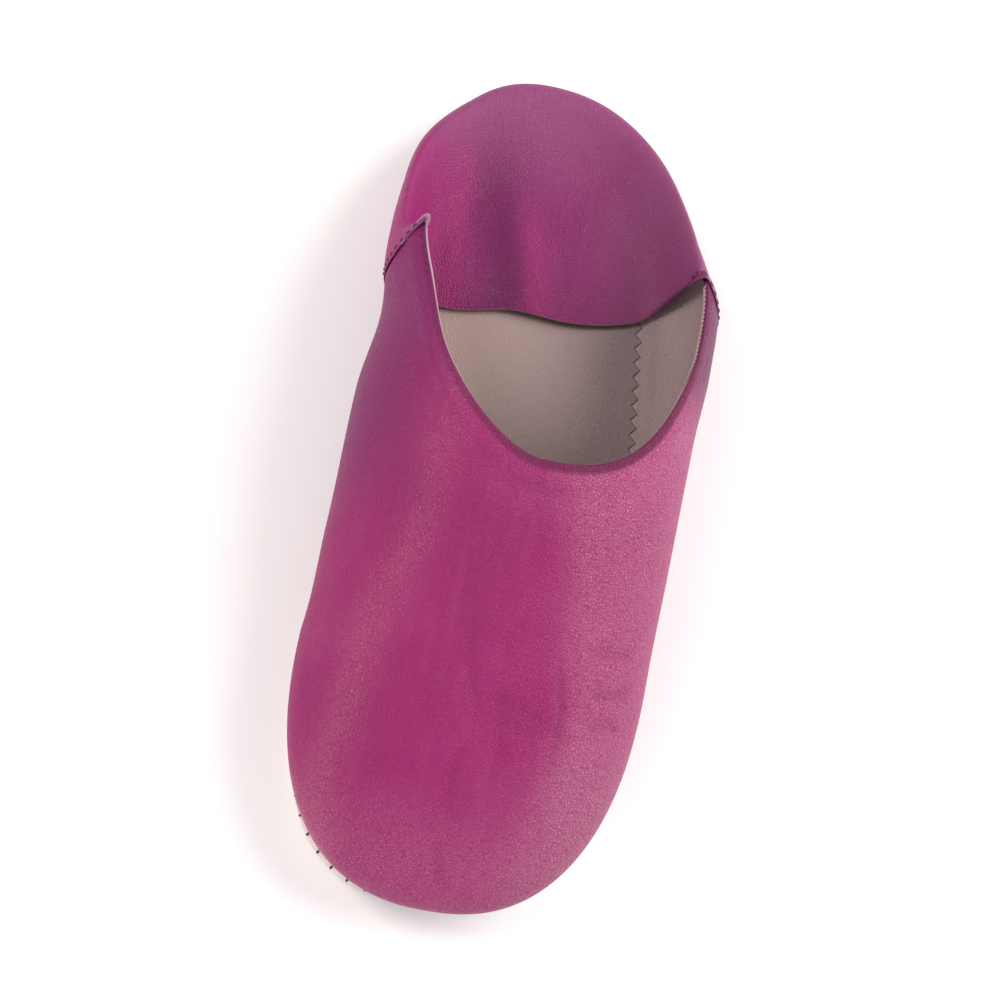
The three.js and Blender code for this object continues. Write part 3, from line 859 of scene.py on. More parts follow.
def leather(name, tones, grain, drift, gloss, relief, marks=()):
    """A leather with grain and uneven dye, tinted where the mesh carries a mark.

    tones: its own, deep and pale colour; gloss: roughness, more of it in the pores, its
    drift and the specular level; relief: strength and depth of the grain; marks: name of
    the mesh's mark, colour and amount.
    """
    material, tree, shader = new_material(name)
    hide = add_group(tree, leather_grain_group(), Crimp_Amount=add_mark(tree, "crimped"), **grain)
    own, deep, pale = tones
    surface = add_group(
        tree, tone_group(), Color=own, Deep=deep, Pale=pale,
        Patch=hide["Patch"], Streak=hide["Streak"], Pores=hide["Pores"], **drift)["Color"]
    tops = add_math(tree, "SUBTRACT", 1.0, add_math(tree, "MULTIPLY", hide["Pores"], PORE_COVER))
    tops = add_math(tree, "MAXIMUM", tops, 0.0)
    for mark, tint, amount in marks:
        factor = add_math(tree, "MULTIPLY", add_mark(tree, mark), amount)
        if mark in ON_GRAIN_TOPS:
            factor = add_math(tree, "MULTIPLY", factor, tops)
        surface = add_mix(tree, factor, surface, tint)
    tree.links.new(surface, shader.inputs["Base Color"])
    rougher = add_math(tree, "MULTIPLY", hide["Pores"], gloss["in_pores"])
    uneven = add_math(tree, "SUBTRACT", hide["Patch"], NOISE_MIDDLE)
    uneven = add_math(tree, "MULTIPLY", uneven, gloss["drift"])
    rough = add_math(tree, "ADD", add_math(tree, "ADD", rougher, uneven), gloss["rough"])
    polished = add_math(tree, "MULTIPLY", add_mark(tree, "polished"), POLISH)
    tree.links.new(add_math(tree, "SUBTRACT", rough, polished), shader.inputs["Roughness"])
    bump = add_node(
        tree, "ShaderNodeBump", Strength=relief["strength"], Distance=relief["depth"] * MM,
        Height=hide["Height"])
    tree.links.new(bump.outputs["Normal"], shader.inputs["Normal"])
    shader.inputs["Specular IOR Level"].default_value = gloss["specular"]
    return material


# How far dye and hide go darker and paler over the leather.
DYE_DEEP = 0.7
DYE_PALE = {"colour": (0.75, 0.3, 0.5), "share": 0.16}
HIDE_DEEP = 0.62
HIDE_PALE = 1.2


def dyed_leather(name, colour, specular, marks):
    pale = tuple(mix(own, other, DYE_PALE["share"]) for own, other in zip(colour, DYE_PALE["colour"]))
    return leather(
        name, (colour, shade(colour, DYE_DEEP), pale),
        {"Pebble_Scale": 1180.0, "Wrinkle_Scale": 230.0, "Wrinkle_Amount": 0.7, "Patch_Scale": 24.0,
         "Streak_Scale": 190.0},
        {"Amount": 0.36, "Streak_Amount": 0.18, "Pore_Depth": 0.4},
        {"rough": 0.42, "in_pores": 0.14, "drift": 0.14, "specular": specular},
        {"strength": 0.42, "depth": 0.55}, marks)


def undyed_leather(name, colour, rough=0.72, marks=()):
    return leather(
        name, (colour, shade(colour, HIDE_DEEP), shade(colour, HIDE_PALE)),
        {"Pebble_Scale": 900.0, "Wrinkle_Scale": 300.0, "Wrinkle_Amount": 0.4, "Patch_Scale": 30.0,
         "Streak_Scale": 120.0},
        {"Amount": 0.22, "Streak_Amount": 0.1, "Pore_Depth": 0.55},
        {"rough": rough, "in_pores": 0.1, "drift": 0.1, "specular": 0.3},
        {"strength": 0.25, "depth": 0.5}, marks)


THREAD_PALE = 2.6


def thread_material():
    material, tree, shader = new_material("Waxed thread")
    where = tree.nodes.new("ShaderNodeTexCoord").outputs["Object"]
    twist = add_node(tree, "ShaderNodeTexNoise", Vector=where, Scale=900.0, Detail=2.0).outputs["Fac"]
    colour = add_mix(tree, twist, dye("thread"), shade(dye("thread"), THREAD_PALE))
    tree.links.new(colour, shader.inputs["Base Color"])
    relief = add_node(tree, "ShaderNodeBump", Strength=0.4, Distance=0.3 * MM, Height=twist)
    tree.links.new(relief.outputs["Normal"], shader.inputs["Normal"])
    shader.inputs["Roughness"].default_value = 0.6
    return material


# Pieces


def outline_loop(keys, inset, up, inner_cut=0.0, outer_cut=0.0):
    """A closed loop in the sole's outline, inner side first from toe to heel."""
    inner = outline(keys, -1, -inset - inner_cut)
    outer = outline(keys, 1, -inset - outer_cut)[-2:0:-1]
    spots = np.concatenate([inner, outer])
    return place(spots[:, 0], spots[:, 1], up)


def plate(name, keys, layers, material, cuts=(0.0, 0.0), edge_rows=()):
    """A flat plate of loops, each at its own inset and height, closed above and below."""
    loops = np.stack([outline_loop(keys, inset, up, *cuts) for inset, up in layers], axis=1)
    count, rows = loops.shape[:2]
    faces = [face[::-1] for face in sheet_faces(count, rows, closed=True)]
    half = len(keys)
    for row, flip in ((0, False), (rows - 1, True)):
        for i in range(half - 1):
            corners = list(dict.fromkeys([i, i + 1, (count - i - 1) % count, (count - i) % count]))
            face = [corner * rows + row for corner in corners]
            faces.append(face[::-1] if flip else face)
    edge = np.zeros((count, rows))
    edge[:, list(edge_rows)] = 1.0
    # Painted light towards the inner side, used on the insole.
    pale = np.repeat((loops[:, :1, 0] < 0).astype(float), rows, axis=1)
    return make_mesh(name, loops, faces, material, {"cut_edge": edge, "inner_side": pale})


# Loops of the sole's section from its underside up, as inset and height.
SOLE_LAYERS = (
    (9.0, 0.0), (1.2, 0.0), (0.5, 0.15), (0.12, 0.6), (0.0, 1.2), (0.0, 2.6), (0.05, 3.9),
    (0.25, SOLE_THICKNESS - 0.5), (0.7, SOLE_THICKNESS - 0.1), (1.4, SOLE_THICKNESS),
    (9.0, SOLE_THICKNESS),
)
SOLE_ROUGHNESS = 0.66


class SLIPPER_OT_outsole(bpy.types.Operator):
    """Makes the flat leather sole with its rounded edge"""

    bl_idname = "slipper.outsole"
    bl_label = "Outsole"

    def execute(self, context):
        material = undyed_leather("Sole leather", dye("sole"), SOLE_ROUGHNESS)
        obj = plate("outsole_leather", SOLE_KEYS, SOLE_LAYERS, material, (sole_cut(SOLE_KEYS), 0.0))
        settle(obj, "sole_leather", "outsole")
        return {"FINISHED"}


# Loops of the insole's section from its underside up, past its inset and above its top.
INSOLE_LAYERS = (
    (10.0, -1.2), (0.1, -1.2), (0.0, -0.9), (0.0, -0.35), (0.12, -0.1), (0.4, 0.0), (0.9, 0.0),
    (2.0, 0.0), (10.0, 0.0),
)
INSOLE_EDGE_ROWS = (1, 2, 3, 4, 5)
STEPS_PER_TOOTH = 8


class SLIPPER_OT_insole(bpy.types.Operator):
    """Makes the insole with its zigzag side edges"""

    bl_idname = "slipper.insole"
    bl_label = "Insole"

    def execute(self, context):
        teeth = round((HEEL_AT - BALL_AT) / sizes().tooth_pitch)
        keys = np.concatenate([
            np.linspace(0, 1, 121)[:-1], np.linspace(1, 2, teeth * STEPS_PER_TOOTH + 1)[:-1],
            np.linspace(2, 3, 101)])
        cut = sizes().tooth_depth * zigzag(np.where((keys >= 1) & (keys < 2), (keys - 1) * teeth, 0.0))
        layers = [(INSOLE_INSET + inset, INSOLE_TOP + up) for inset, up in INSOLE_LAYERS]
        # Painted light on the inner side, and painted shadow on the cut edge beside the lining.
        marks = (("inner_side", dye("insole_lit"), 0.9), ("cut_edge", dye("shadowed_cut_edge"), 0.7))
        material = undyed_leather("Insole leather", dye("insole"), marks=marks)
        obj = plate("insole_leather", keys, layers, material, (cut, cut), INSOLE_EDGE_ROWS)
        settle(obj, "insole_leather", "insole")
        return {"FINISHED"}


def own_place(points):
    """Across and along of points, in the slipper's own sizes."""
    along = points[..., 1] + ORIGIN[1]
    return points[..., 0] + ORIGIN[0] - bow(along), along


# Creases waver to either side and fade out at both ends.
CREASE_WAVER = 0.9
CREASE_BENDS = 5.0
CREASE_END = (-0.06, 0.3)


def crease_depth(points):
    """How deep the vamp's fine creases go at each point."""
    spots = np.stack(own_place(points), axis=-1)
    depth = np.zeros(points.shape[:-1])
    for crease in VAMP_CREASES:
        start = np.array(crease["start"])
        run = np.subtract(crease["end"], start)
        share = (spots - start) @ run / (run @ run)
        aside = np.array([-run[1], run[0]]) / np.hypot(*run)
        wave = CREASE_WAVER * np.sin(CREASE_BENDS * share + start[0])[..., None] * aside
        gap = np.linalg.norm(spots - start - np.clip(share, 0, 1)[..., None] * run - wave, axis=-1)
        fade = rising(share, *CREASE_END) * rising(1 - share, *CREASE_END)
        depth += crease["depth"] * hump(gap, 0.0, crease["width"]) * fade
    return depth


# The collar turns in over this length, with a soft ridge beside it (its middle and width).
COLLAR_ROLL_LENGTH = 6.0
COLLAR_RIDGE_BAND = (6.2, 2.2)


def dressed_vamp(rib_count=VAMP_RIBS):
    """The vamp's outer skin with its fine creases and its collar turned in."""
    skin = vamp_skin(rib_count)
    turned = through(COLLAR_TONES, "turned", np.linspace(-1, 1, rib_count))[:, None]
    from_collar = distance_from_end(skin)
    roll = sizes().collar_roll * np.clip(1 - from_collar / COLLAR_ROLL_LENGTH, 0, 1) ** 2
    roll -= sizes().collar_ridge * hump(from_collar, *COLLAR_RIDGE_BAND)
    sunk = turned * roll + crease_depth(skin)
    return skin - normals_of(skin, VAMP_TUCK_ROWS) * sunk[..., None]


# Marks of the vamp: where each starts or ends and over which width it grows, in mm. The raw
# rows count the rows of the rim, and the raw turn runs round the collar as its tones do.
RAW_ROWS = (0.3, 1.2)
OUTER_RAW_ROWS = (2.0, 2.0)
RAW_TURN = (-0.15, 0.3)
LINED_TO_TURN = 0.6
# The paler outer side is partly wear and partly painted sheen; at the toe it is painted sheen.
WEAR_AND_SHEEN_SPAN = (-4.9, 14.0)
TOE_SHEEN_SPAN = (36.0, 28.0)
TOE_SHEEN = 0.72
POLISHED_WIDTH = 6.0
ROLLED_SPAN = (3.0, 1.3)
ROLL_DULLS = 1.2
INNER_WING_STARTS = (116.0, 88.0)
INNER_WING_SPAN = (10.0, 25.0)
INNER_WING_GROWTH = 46.0
OUTER_WING_SPAN = (142.0, 26.0)
OUTER_WING_BAND = (30.0, 18.0)
# Partly scuffing, partly painted sheen on the toe's outer side.
SCUFF_AND_SHEEN_ACROSS = (10.0, 18.0)
SCUFF_AND_SHEEN_ALONG = (60.0, 30.0)
# Painted highlight in a band beside the collar's roll.
ROLL_HIGHLIGHT_BAND = (11.0, 5.5)
DARKEST_CREASE = 0.45
CRIMP_WHERE_WEAR_AND_SHEEN = 0.9
CRIMP_WHERE_POLISHED = 0.15
# How dark the painted shade on the outer wing, in the creases and on the collar's roll is against the dye.
OUTER_WING_SHADE = 0.6
CREASE_SHADE = 0.6
ROLL_SHADE = 0.38
VAMP_SPECULAR = 0.28


class SLIPPER_OT_vamp(bpy.types.Operator):
    """Makes the closed front with its wings and turned collar"""

    bl_idname = "slipper.vamp"
    bl_label = "Vamp"

    def execute(self, context):
        skin = dressed_vamp()
        points, on_rim, inside = thicken(skin, VAMP_TUCK_ROWS, VAMP_WALL, VAMP_INNER_STEP)
        outside = 1 - inside
        turns = np.linspace(-1, 1, len(skin))[:, None]
        from_collar = np.zeros(points.shape[:2])
        from_collar[:, :skin.shape[1]] = distance_from_end(skin)
        dark, rubbed, pale = (
            through(COLLAR_TONES, column, turns) for column in ("dark", "rubbed", "pale"))
        raw, outer_raw = (
            on_rim * rising(np.cumsum(on_rim), *rows) for rows in (RAW_ROWS, OUTER_RAW_ROWS))
        across, along = own_place(points)
        # Paler outer side and toe: partly wear, partly painted sheen.
        worn = rising(across - through(WEAR_AND_SHEEN_LINE, "across", along), *WEAR_AND_SHEEN_SPAN)
        worn = np.maximum(worn, TOE_SHEEN * falling(along, *TOE_SHEEN_SPAN)) * outside
        # Polish along the inner shoulder: lower roughness, and the same mask carries the painted sheen.
        polished = hump(across, through(POLISHED_LINE, "across", along), POLISHED_WIDTH) * outside
        # Painted shade on the collar's turned-in roll, which is also made rougher.
        painted_roll_shade = dark * falling(from_collar, *ROLLED_SPAN) * outside
        # Painted shade on both wings.
        wing_start = mix(*INNER_WING_STARTS, rising(from_collar, *INNER_WING_SPAN))
        outer_wing = rising(along, *OUTER_WING_SPAN) * falling(from_collar, *OUTER_WING_BAND)
        marks = {
            "cut_edge": pale * mix(raw, outer_raw, rising(turns, *RAW_TURN)),
            "inside": inside * (turns < LINED_TO_TURN),
            # Painted shade on the collar's roll.
            "rim": painted_roll_shade,
            "inner_wing": (across < 0) * rising(along, wing_start, INNER_WING_GROWTH) * outside,
            "outer_wing": (across > 0) * outer_wing * outside,
            # Partly scuffing, partly painted sheen on the toe's outer side.
            "scuffed": rising(across, *SCUFF_AND_SHEEN_ACROSS) * falling(along, *SCUFF_AND_SHEEN_ALONG) * outside,
            # Painted highlight in a band beside the collar's roll.
            "rubbed": rubbed * hump(from_collar, *ROLL_HIGHLIGHT_BAND) * outside,
            "worn": worn,
            # Painted shade in the fine creases.
            "creased": np.clip(crease_depth(points) / DARKEST_CREASE, 0, 1) * outside,
            "polished": polished - ROLL_DULLS * painted_roll_shade,
            "sheen": polished,
            "crimped": CRIMP_WHERE_WEAR_AND_SHEEN * worn + CRIMP_WHERE_POLISHED * polished,
        }
        tint = dye("vamp")
        material = dyed_leather("Vamp leather", tint, VAMP_SPECULAR, (
            ("worn", dye("worn"), 0.88), ("sheen", dye("sheen"), 0.44),
            ("scuffed", dye("scuffed"), 0.55), ("rubbed", dye("rubbed"), 0.62),
            ("inner_wing", dye("wing"), 0.95), ("outer_wing", shade(dye("wing"), OUTER_WING_SHADE), 0.9),
            ("creased", shade(tint, CREASE_SHADE), 0.3), ("rim", shade(tint, ROLL_SHADE), 0.9),
            ("inside", dye("lining"), 1.0), ("cut_edge", dye("raw_edge"), 1.0)))
        obj = make_mesh("vamp_leather", points, ring_faces(*points.shape[:2]), material, marks)
        settle(obj, "vamp_leather", "vamp")
        return {"FINISHED"}


# The lining: its mesh, where it stops round the collar, how deep its face, rim and back lie
# inside the wall, and its foot on the insole (how far in, and how far up to the face).
LINING_RIBS = 1081
LINING_ROWS = 36
LINING_ROW_POWER = 1.5
LINING_BACK_RIBS = 34
LINING_WING_SPAN = (0.72, 0.05)
LINING_TIP_SPAN = (0.84, 0.16)
LINING_FACE = VAMP_WALL + 0.75
LINING_RIM = VAMP_WALL + 0.4
LINING_BACK = VAMP_WALL + 0.05
LINING_FOOT = table("run up", (5.0, 0.0), (3.0, 0.2), (1.2, 0.5))
LINING_SUNK = 0.35
LINING_FOOT_THICKNESS = 0.3


def lined_ribs(skin, widest_row, stop):
    """Ribs taken again from the sole up to a stop before their end, with their directions."""
    outward = normals_of(skin, widest_row)
    left = distance_from_end(skin)
    points = np.empty((len(skin), LINING_ROWS, 3))
    normals = np.empty_like(points)
    shares = 1 - np.linspace(1, 0, LINING_ROWS) ** LINING_ROW_POWER
    for i, whole in enumerate(left[:, 0]):
        wanted = (whole - stop[i]) * shares
        for axis in range(3):
            points[i, :, axis] = np.interp(wanted, whole - left[i], skin[i, :, axis])
            normals[i, :, axis] = np.interp(wanted, whole - left[i], outward[i, :, axis])
    return points, unit(normals)


# The toothed edge on the outer wing: its ribs, the length over which it comes out, the angles
# round the rim in degrees, and its two radii beside the rim's.
EDGE_FINE_RIBS = 1441
EDGE_RIBS = slice(1220, 1438)
EDGE_GROWTH = 14.0
EDGE_ANGLES = {"start": 185.0, "end": 150.0, "farther": 45.0, "tooth": 28.0}
EDGE_ROWS = 6
EDGE_OUTER = 0.22
EDGE_INNER = -0.1


def lining_edge():
    """The lining's toothed edge, turned over the rim of the outer wing."""
    skin = dressed_vamp(EDGE_FINE_RIBS)[EDGE_RIBS]
    outward = normals_of(skin, VAMP_TUCK_ROWS)[:, None, -1]
    tangent = unit(skin[:, -1:] - skin[:, -2:-1])
    length = length_along(skin[:, -1])
    tooth = EDGE_ANGLES["tooth"] * zigzag(length / sizes().lining_tooth_pitch)
    over = (EDGE_ANGLES["farther"] + tooth) * rising(length, 0.0, EDGE_GROWTH)
    last = np.radians(EDGE_ANGLES["end"] - over)[:, None]
    angles = mix(math.radians(EDGE_ANGLES["start"]), last, np.linspace(0, 1, EDGE_ROWS))
    middle = skin[:, -1:] - outward * VAMP_WALL / 2
    rows = []
    for beside, turn in ((EDGE_OUTER, angles[..., None]), (EDGE_INNER, angles[:, ::-1, None])):
        rows.append(middle + (VAMP_WALL / 2 + beside) * (np.cos(turn) * outward + np.sin(turn) * tangent))
    points = np.concatenate(rows, axis=1)
    return points, ring_faces(*points.shape[:2])


class SLIPPER_OT_lining(bpy.types.Operator):
    """Makes the undyed lining of the vamp, the wings and the sides of the back"""

    bl_idname = "slipper.lining"
    bl_label = "Lining"

    def execute(self, context):
        size = sizes()
        vamp = dressed_vamp(LINING_RIBS)
        turns = np.linspace(-1, 1, len(vamp))
        tooth = size.lining_tooth_depth * zigzag(length_along(vamp[:, -1]) / size.lining_tooth_pitch)
        stop = size.lining_margin + (size.wing_margin + tooth) * rising(turns, *LINING_WING_SPAN)
        at_tips = rising(np.abs(turns), *LINING_TIP_SPAN)
        stop += np.where(turns < 0, size.fold_margin, size.tip_margin) * at_tips
        back = quarter_skin(QUARTER_RIBS)[:, :QUARTER_TUCK_ROWS + QUARTER_FOLD_ROWS + 1]
        back_stop = np.full(len(back), size.fold_margin)
        parts = (
            lined_ribs(back[1 - LINING_BACK_RIBS:], QUARTER_TUCK_ROWS, back_stop),
            lined_ribs(vamp, VAMP_TUCK_ROWS, stop),
            lined_ribs(back[:LINING_BACK_RIBS], QUARTER_TUCK_ROWS, back_stop))
        inner, outward = (np.concatenate(arrays) for arrays in zip(*parts))
        face = inner - outward * LINING_FACE
        hidden = inner - outward * LINING_BACK
        rim = inner[:, -1:] - outward[:, -1:] * LINING_RIM
        aside = face[:, :1] - inner[:, :1]
        aside[..., 2] = 0
        aside = unit(aside)
        floor = np.concatenate([face[:, :1] + aside * row["run"] for row in LINING_FOOT], axis=1)
        low = INSOLE_TOP - LINING_SUNK + lift(own_place(floor)[1])
        floor[..., 2] = mix(low, face[:, :1, 2], np.array([row["up"] for row in LINING_FOOT]))
        under = floor[:, :1] - np.array([0, 0, LINING_FOOT_THICKNESS])
        points = np.concatenate([hidden, rim, face[:, ::-1], floor[:, ::-1], under], axis=1)
        material = undyed_leather("Lining leather", dye("lining"))
        obj = make_mesh("wing_lining", points, ring_faces(*points.shape[:2]), material)
        settle(obj, "insole_leather")
        obj = make_mesh("lining_edge", *lining_edge(), material)
        settle(obj, "insole_leather")
        return {"FINISHED"}


# The back is eased over this length from its crest, and laps over the wings by its seams.
EASING_LENGTH = 12.0
OUTER_LAP = 0.3
LAP_SPAN = 0.14


def eased(skin):
    """A skin smoothed along its first direction, its two ends kept."""
    skin = skin.copy()
    for _ in range(EASING_ROUNDS):
        skin[1:-1] = (skin[:-2] + 2 * skin[1:-1] + skin[2:]) / 4
    return skin


def dressed_quarter():
    """The back's outer skin, standing proud of the wings beside the seams."""
    skin = quarter_skin(QUARTER_RIBS)
    smoothed = eased(skin)
    crest = QUARTER_TUCK_ROWS + QUARTER_FOLD_ROWS
    smoothed[:, crest:] = eased(smoothed[:, crest:].swapaxes(0, 1)).swapaxes(0, 1)
    left = distance_from_end(skin)
    from_crest = left[:, crest:crest + 1] - left
    skin = mix(skin, smoothed, rising(from_crest, 0.0, EASING_LENGTH)[..., None])
    turns = np.linspace(1, -1, QUARTER_RIBS)
    lap = np.where(turns < 0, 1.0, OUTER_LAP)
    proud = sizes().lap_step * lap * (1 - rising(1 - np.abs(turns), 0.0, LAP_SPAN))
    return skin + normals_of(skin, QUARTER_TUCK_ROWS) * proud[:, None, None]


# The back's wall thins towards the tips of the seams and its cut edge.
TIP_WALL = 0.2
TIP_WALL_SPAN = (0.08, 0.2)
CUT_EDGE_WALL = 0.5
# Its marks, in mm or by turn round the back: the painted shade of the valley and the painted highlight of the
# ridge each run from a place across at the front to one at the back.
FAINT_EDGE = 0.25
TIPS_FROM = (0.84, 0.1)
PALE_EDGE_SPAN = (0.5, 0.15)
VALLEY_LINE = (-13.0, -22.0)
VALLEY_WIDTHS = (6.0, 13.0)
VALLEY_SIDE = 0.25
VALLEY_SIDE_WIDTH = 8.0
VALLEY_DEPTH = (1.2, 1.0)
BRIGHT_LINE = (0.0, -12.0)
BRIGHT_WIDTH = 5.0
BRIGHT_DEPTH = (0.7, 0.4)
BRIGHT_BY_WALL = 1.2
BY_WALL_ACROSS = (-23.0, 6.0)
BY_WALL_ALONG = (245.0, 25.0)
# The back goes greyer towards the heel, and has painted light on its outer side.
GREYER_AT_HEEL = 0.75
GREYER_ALONG = (212.0, 50.0)
PAINTED_LIGHT_ACROSS = (4.0, 36.0)
BACK_SPECULAR = 0.3


class SLIPPER_OT_quarter(bpy.types.Operator):
    """Makes the back, folded down over the insole"""

    bl_idname = "slipper.quarter"
    bl_label = "Folded back"

    def execute(self, context):
        skin = dressed_quarter()
        turns = np.linspace(1, -1, len(skin))[:, None]
        wall = QUARTER_WALL * mix(TIP_WALL, 1.0, rising(1 - np.abs(turns), *TIP_WALL_SPAN))
        points, on_rim, inside = thicken(
            skin, QUARTER_TUCK_ROWS, wall, QUARTER_INNER_STEP, CUT_EDGE_WALL)
        edge = np.tile(on_rim, (len(skin), 1))
        edge[0] = 0.0
        edge[-1] = FAINT_EDGE
        across, along = own_place(points)
        to_back = (along - FLAP_FRONT_AT) / FLAP_DEPTH
        # Painted shade in the flap's valley, and a little beyond it on the outer side.
        from_valley = across - mix(*VALLEY_LINE, to_back)
        valley = hump(from_valley, 0.0, np.where(from_valley < 0, *VALLEY_WIDTHS))
        valley += VALLEY_SIDE * rising(from_valley, 0.0, VALLEY_SIDE_WIDTH)
        # Painted highlight on the ridge and painted light on the slope by the inner wall.
        on_ridge = hump(across, mix(*BRIGHT_LINE, to_back), BRIGHT_WIDTH) * falling(to_back, *BRIGHT_DEPTH)
        by_wall = BRIGHT_BY_WALL * falling(across, *BY_WALL_ACROSS) * falling(along, *BY_WALL_ALONG)
        away = falling(np.abs(turns), *TIPS_FROM)
        marks = {
            "cut_edge": edge * mix(FAINT_EDGE, 1.0, away),
            "pale_edge": edge * rising(turns, *PALE_EDGE_SPAN),
            "inside": inside * away,
            "valley": valley * falling(to_back, *VALLEY_DEPTH) * (1 - inside),
            "bright": np.maximum(on_ridge, by_wall) * (1 - inside),
            # Greyer towards the heel; painted light on the outer side.
            "faded": np.maximum(GREYER_AT_HEEL * rising(along, *GREYER_ALONG), rising(across, *PAINTED_LIGHT_ACROSS)),
        }
        material = dyed_leather("Folded leather", dye("quarter"), BACK_SPECULAR, (
            ("faded", dye("faded"), 0.85), ("valley", dye("valley"), 0.65),
            ("bright", dye("bright"), 0.6), ("inside", dye("lining"), 1.0),
            ("cut_edge", dye("brown_edge"), 0.9), ("pale_edge", dye("tip_edge"), 0.9)))
        obj = make_mesh("folded_back", points, ring_faces(*points.shape[:2]), material, marks)
        settle(obj, "quarter_leather", "heel_quarter")
        raw = undyed_leather("Raw edge of the back", dye("tip_edge"))
        arch = tip_arch(skin, dressed_vamp())
        obj = make_mesh("inner_tip_edge", *tube(arch, sizes().tip_edge_radius), raw)
        settle(obj, "quarter_leather")
        return {"FINISHED"}


# The arch over the inner tip: its row at the seam, its rib on the collar, how far over the tip.
ARCH_ROW = QUARTER_TUCK_ROWS + 12
ARCH_RIB = 6
ARCH_OVER = np.array([0.0, 1.2, 1.4])
ARCH_STEPS = 25
ROUND_STEPS = 12


def tip_arch(back, vamp):
    """Path of the back's raw edge over the inner wing's tip: from the seam to the collar."""
    low = back[-1, ARCH_ROW]
    collar = vamp[ARCH_RIB, -1]
    bend = 2 * (vamp[0, -1] + ARCH_OVER) - (low + collar) / 2
    share = np.linspace(0, 1, ARCH_STEPS)[:, None]
    return (1 - share) ** 2 * low + 2 * share * (1 - share) * bend + share ** 2 * collar


def tube(path, radius):
    """A round cord along a path, thinner at its two ends."""
    along = unit(np.gradient(path, axis=0))
    sideways = unit(np.cross(along, [0.0, 0.0, 1.0]))
    above = np.cross(sideways, along)
    ends = np.linspace(0.02, 1.98, len(path))
    girth = radius * np.sqrt(np.clip(ends * ends[::-1], 0, 1))
    angles = np.linspace(0, 2 * np.pi, ROUND_STEPS, endpoint=False)[None, :, None]
    ring = np.cos(angles) * sideways[:, None] + np.sin(angles) * above[:, None]
    points = path[:, None] + girth[:, None, None] * ring
    return points, ring_faces(*points.shape[:2])


def stitch_template():
    """A short round-ended stitch along X, one unit long and one unit thick."""
    stations = np.array([-0.5, -0.44, -0.3, -0.1, 0.1, 0.3, 0.44, 0.5])
    widths = np.array([0.08, 0.32, 0.45, 0.5, 0.5, 0.45, 0.32, 0.08])
    angles = np.linspace(0, 2 * np.pi, 8, endpoint=False)
    along = np.repeat(stations, len(angles))
    points = np.stack([
        along, np.outer(widths, np.cos(angles)).ravel(), np.outer(widths, np.sin(angles)).ravel()], axis=-1)
    return points, ring_faces(len(stations), len(angles))


def stitches(name, centres, directions, normals, length, width):
    """Many stitches as one mesh: each lies along its direction, half sunk in the surface."""
    template, quads = stitch_template()
    directions = unit(directions)
    sideways = unit(np.cross(normals, directions))
    above = np.cross(directions, sideways)
    points = (centres[:, None]
              + directions[:, None] * (template[:, :1] * length)
              + sideways[:, None] * (template[:, 1:2] * width)
              + above[:, None] * (template[:, 2:] * width))
    count = len(template)
    faces = [[i + k * count for i in quad] for k in range(len(centres)) for quad in quads]
    return make_mesh(name, points, faces, bpy.data.materials["Waxed thread"])


def walk(path, pitch, offset=0.0):
    """Places at an even pitch along a path, counted in its points."""
    done = length_along(path)
    return np.interp(np.arange(offset, done[-1], pitch), done, np.arange(len(path)))


def sample(path, places):
    low = np.clip(np.floor(places).astype(int), 0, len(path) - 2)
    return mix(path[low], path[low + 1], (places - low)[:, None])


def stitch_run(path, normal, pitch, offset, limit=None):
    """Centres, directions and normals of stitches that follow a path."""
    places = walk(path, pitch, offset)[:limit]
    return sample(path, places), sample(np.gradient(path, axis=0), places), sample(normal, places)


# Stitches, in mm: the ends of the sole's as inset and height; the rows, ribs and start of the
# seams'; and the ribs, depth under the collar, start and count of the collar's.
SOLE_STITCH_LENGTH = 1.2
SOLE_STITCH_OUT = (0.15, SOLE_THICKNESS - 0.45)
SOLE_STITCH_IN = (1.6, SOLE_THICKNESS + 0.25)
SEAM_STITCH_LENGTH = 1.7
SEAM_STITCH_ROWS = slice(10, 34)
SEAM_STITCH_RIBS = (2, -3)
SEAM_STITCH_START = 1.0
COLLAR_STITCH_LENGTH = 1.0
COLLAR_STITCH_RIBS = range(6, 60)
COLLAR_STITCH_DEPTH = 0.9
COLLAR_STITCH_START = 2.0
COLLAR_STITCH_COUNT = 5


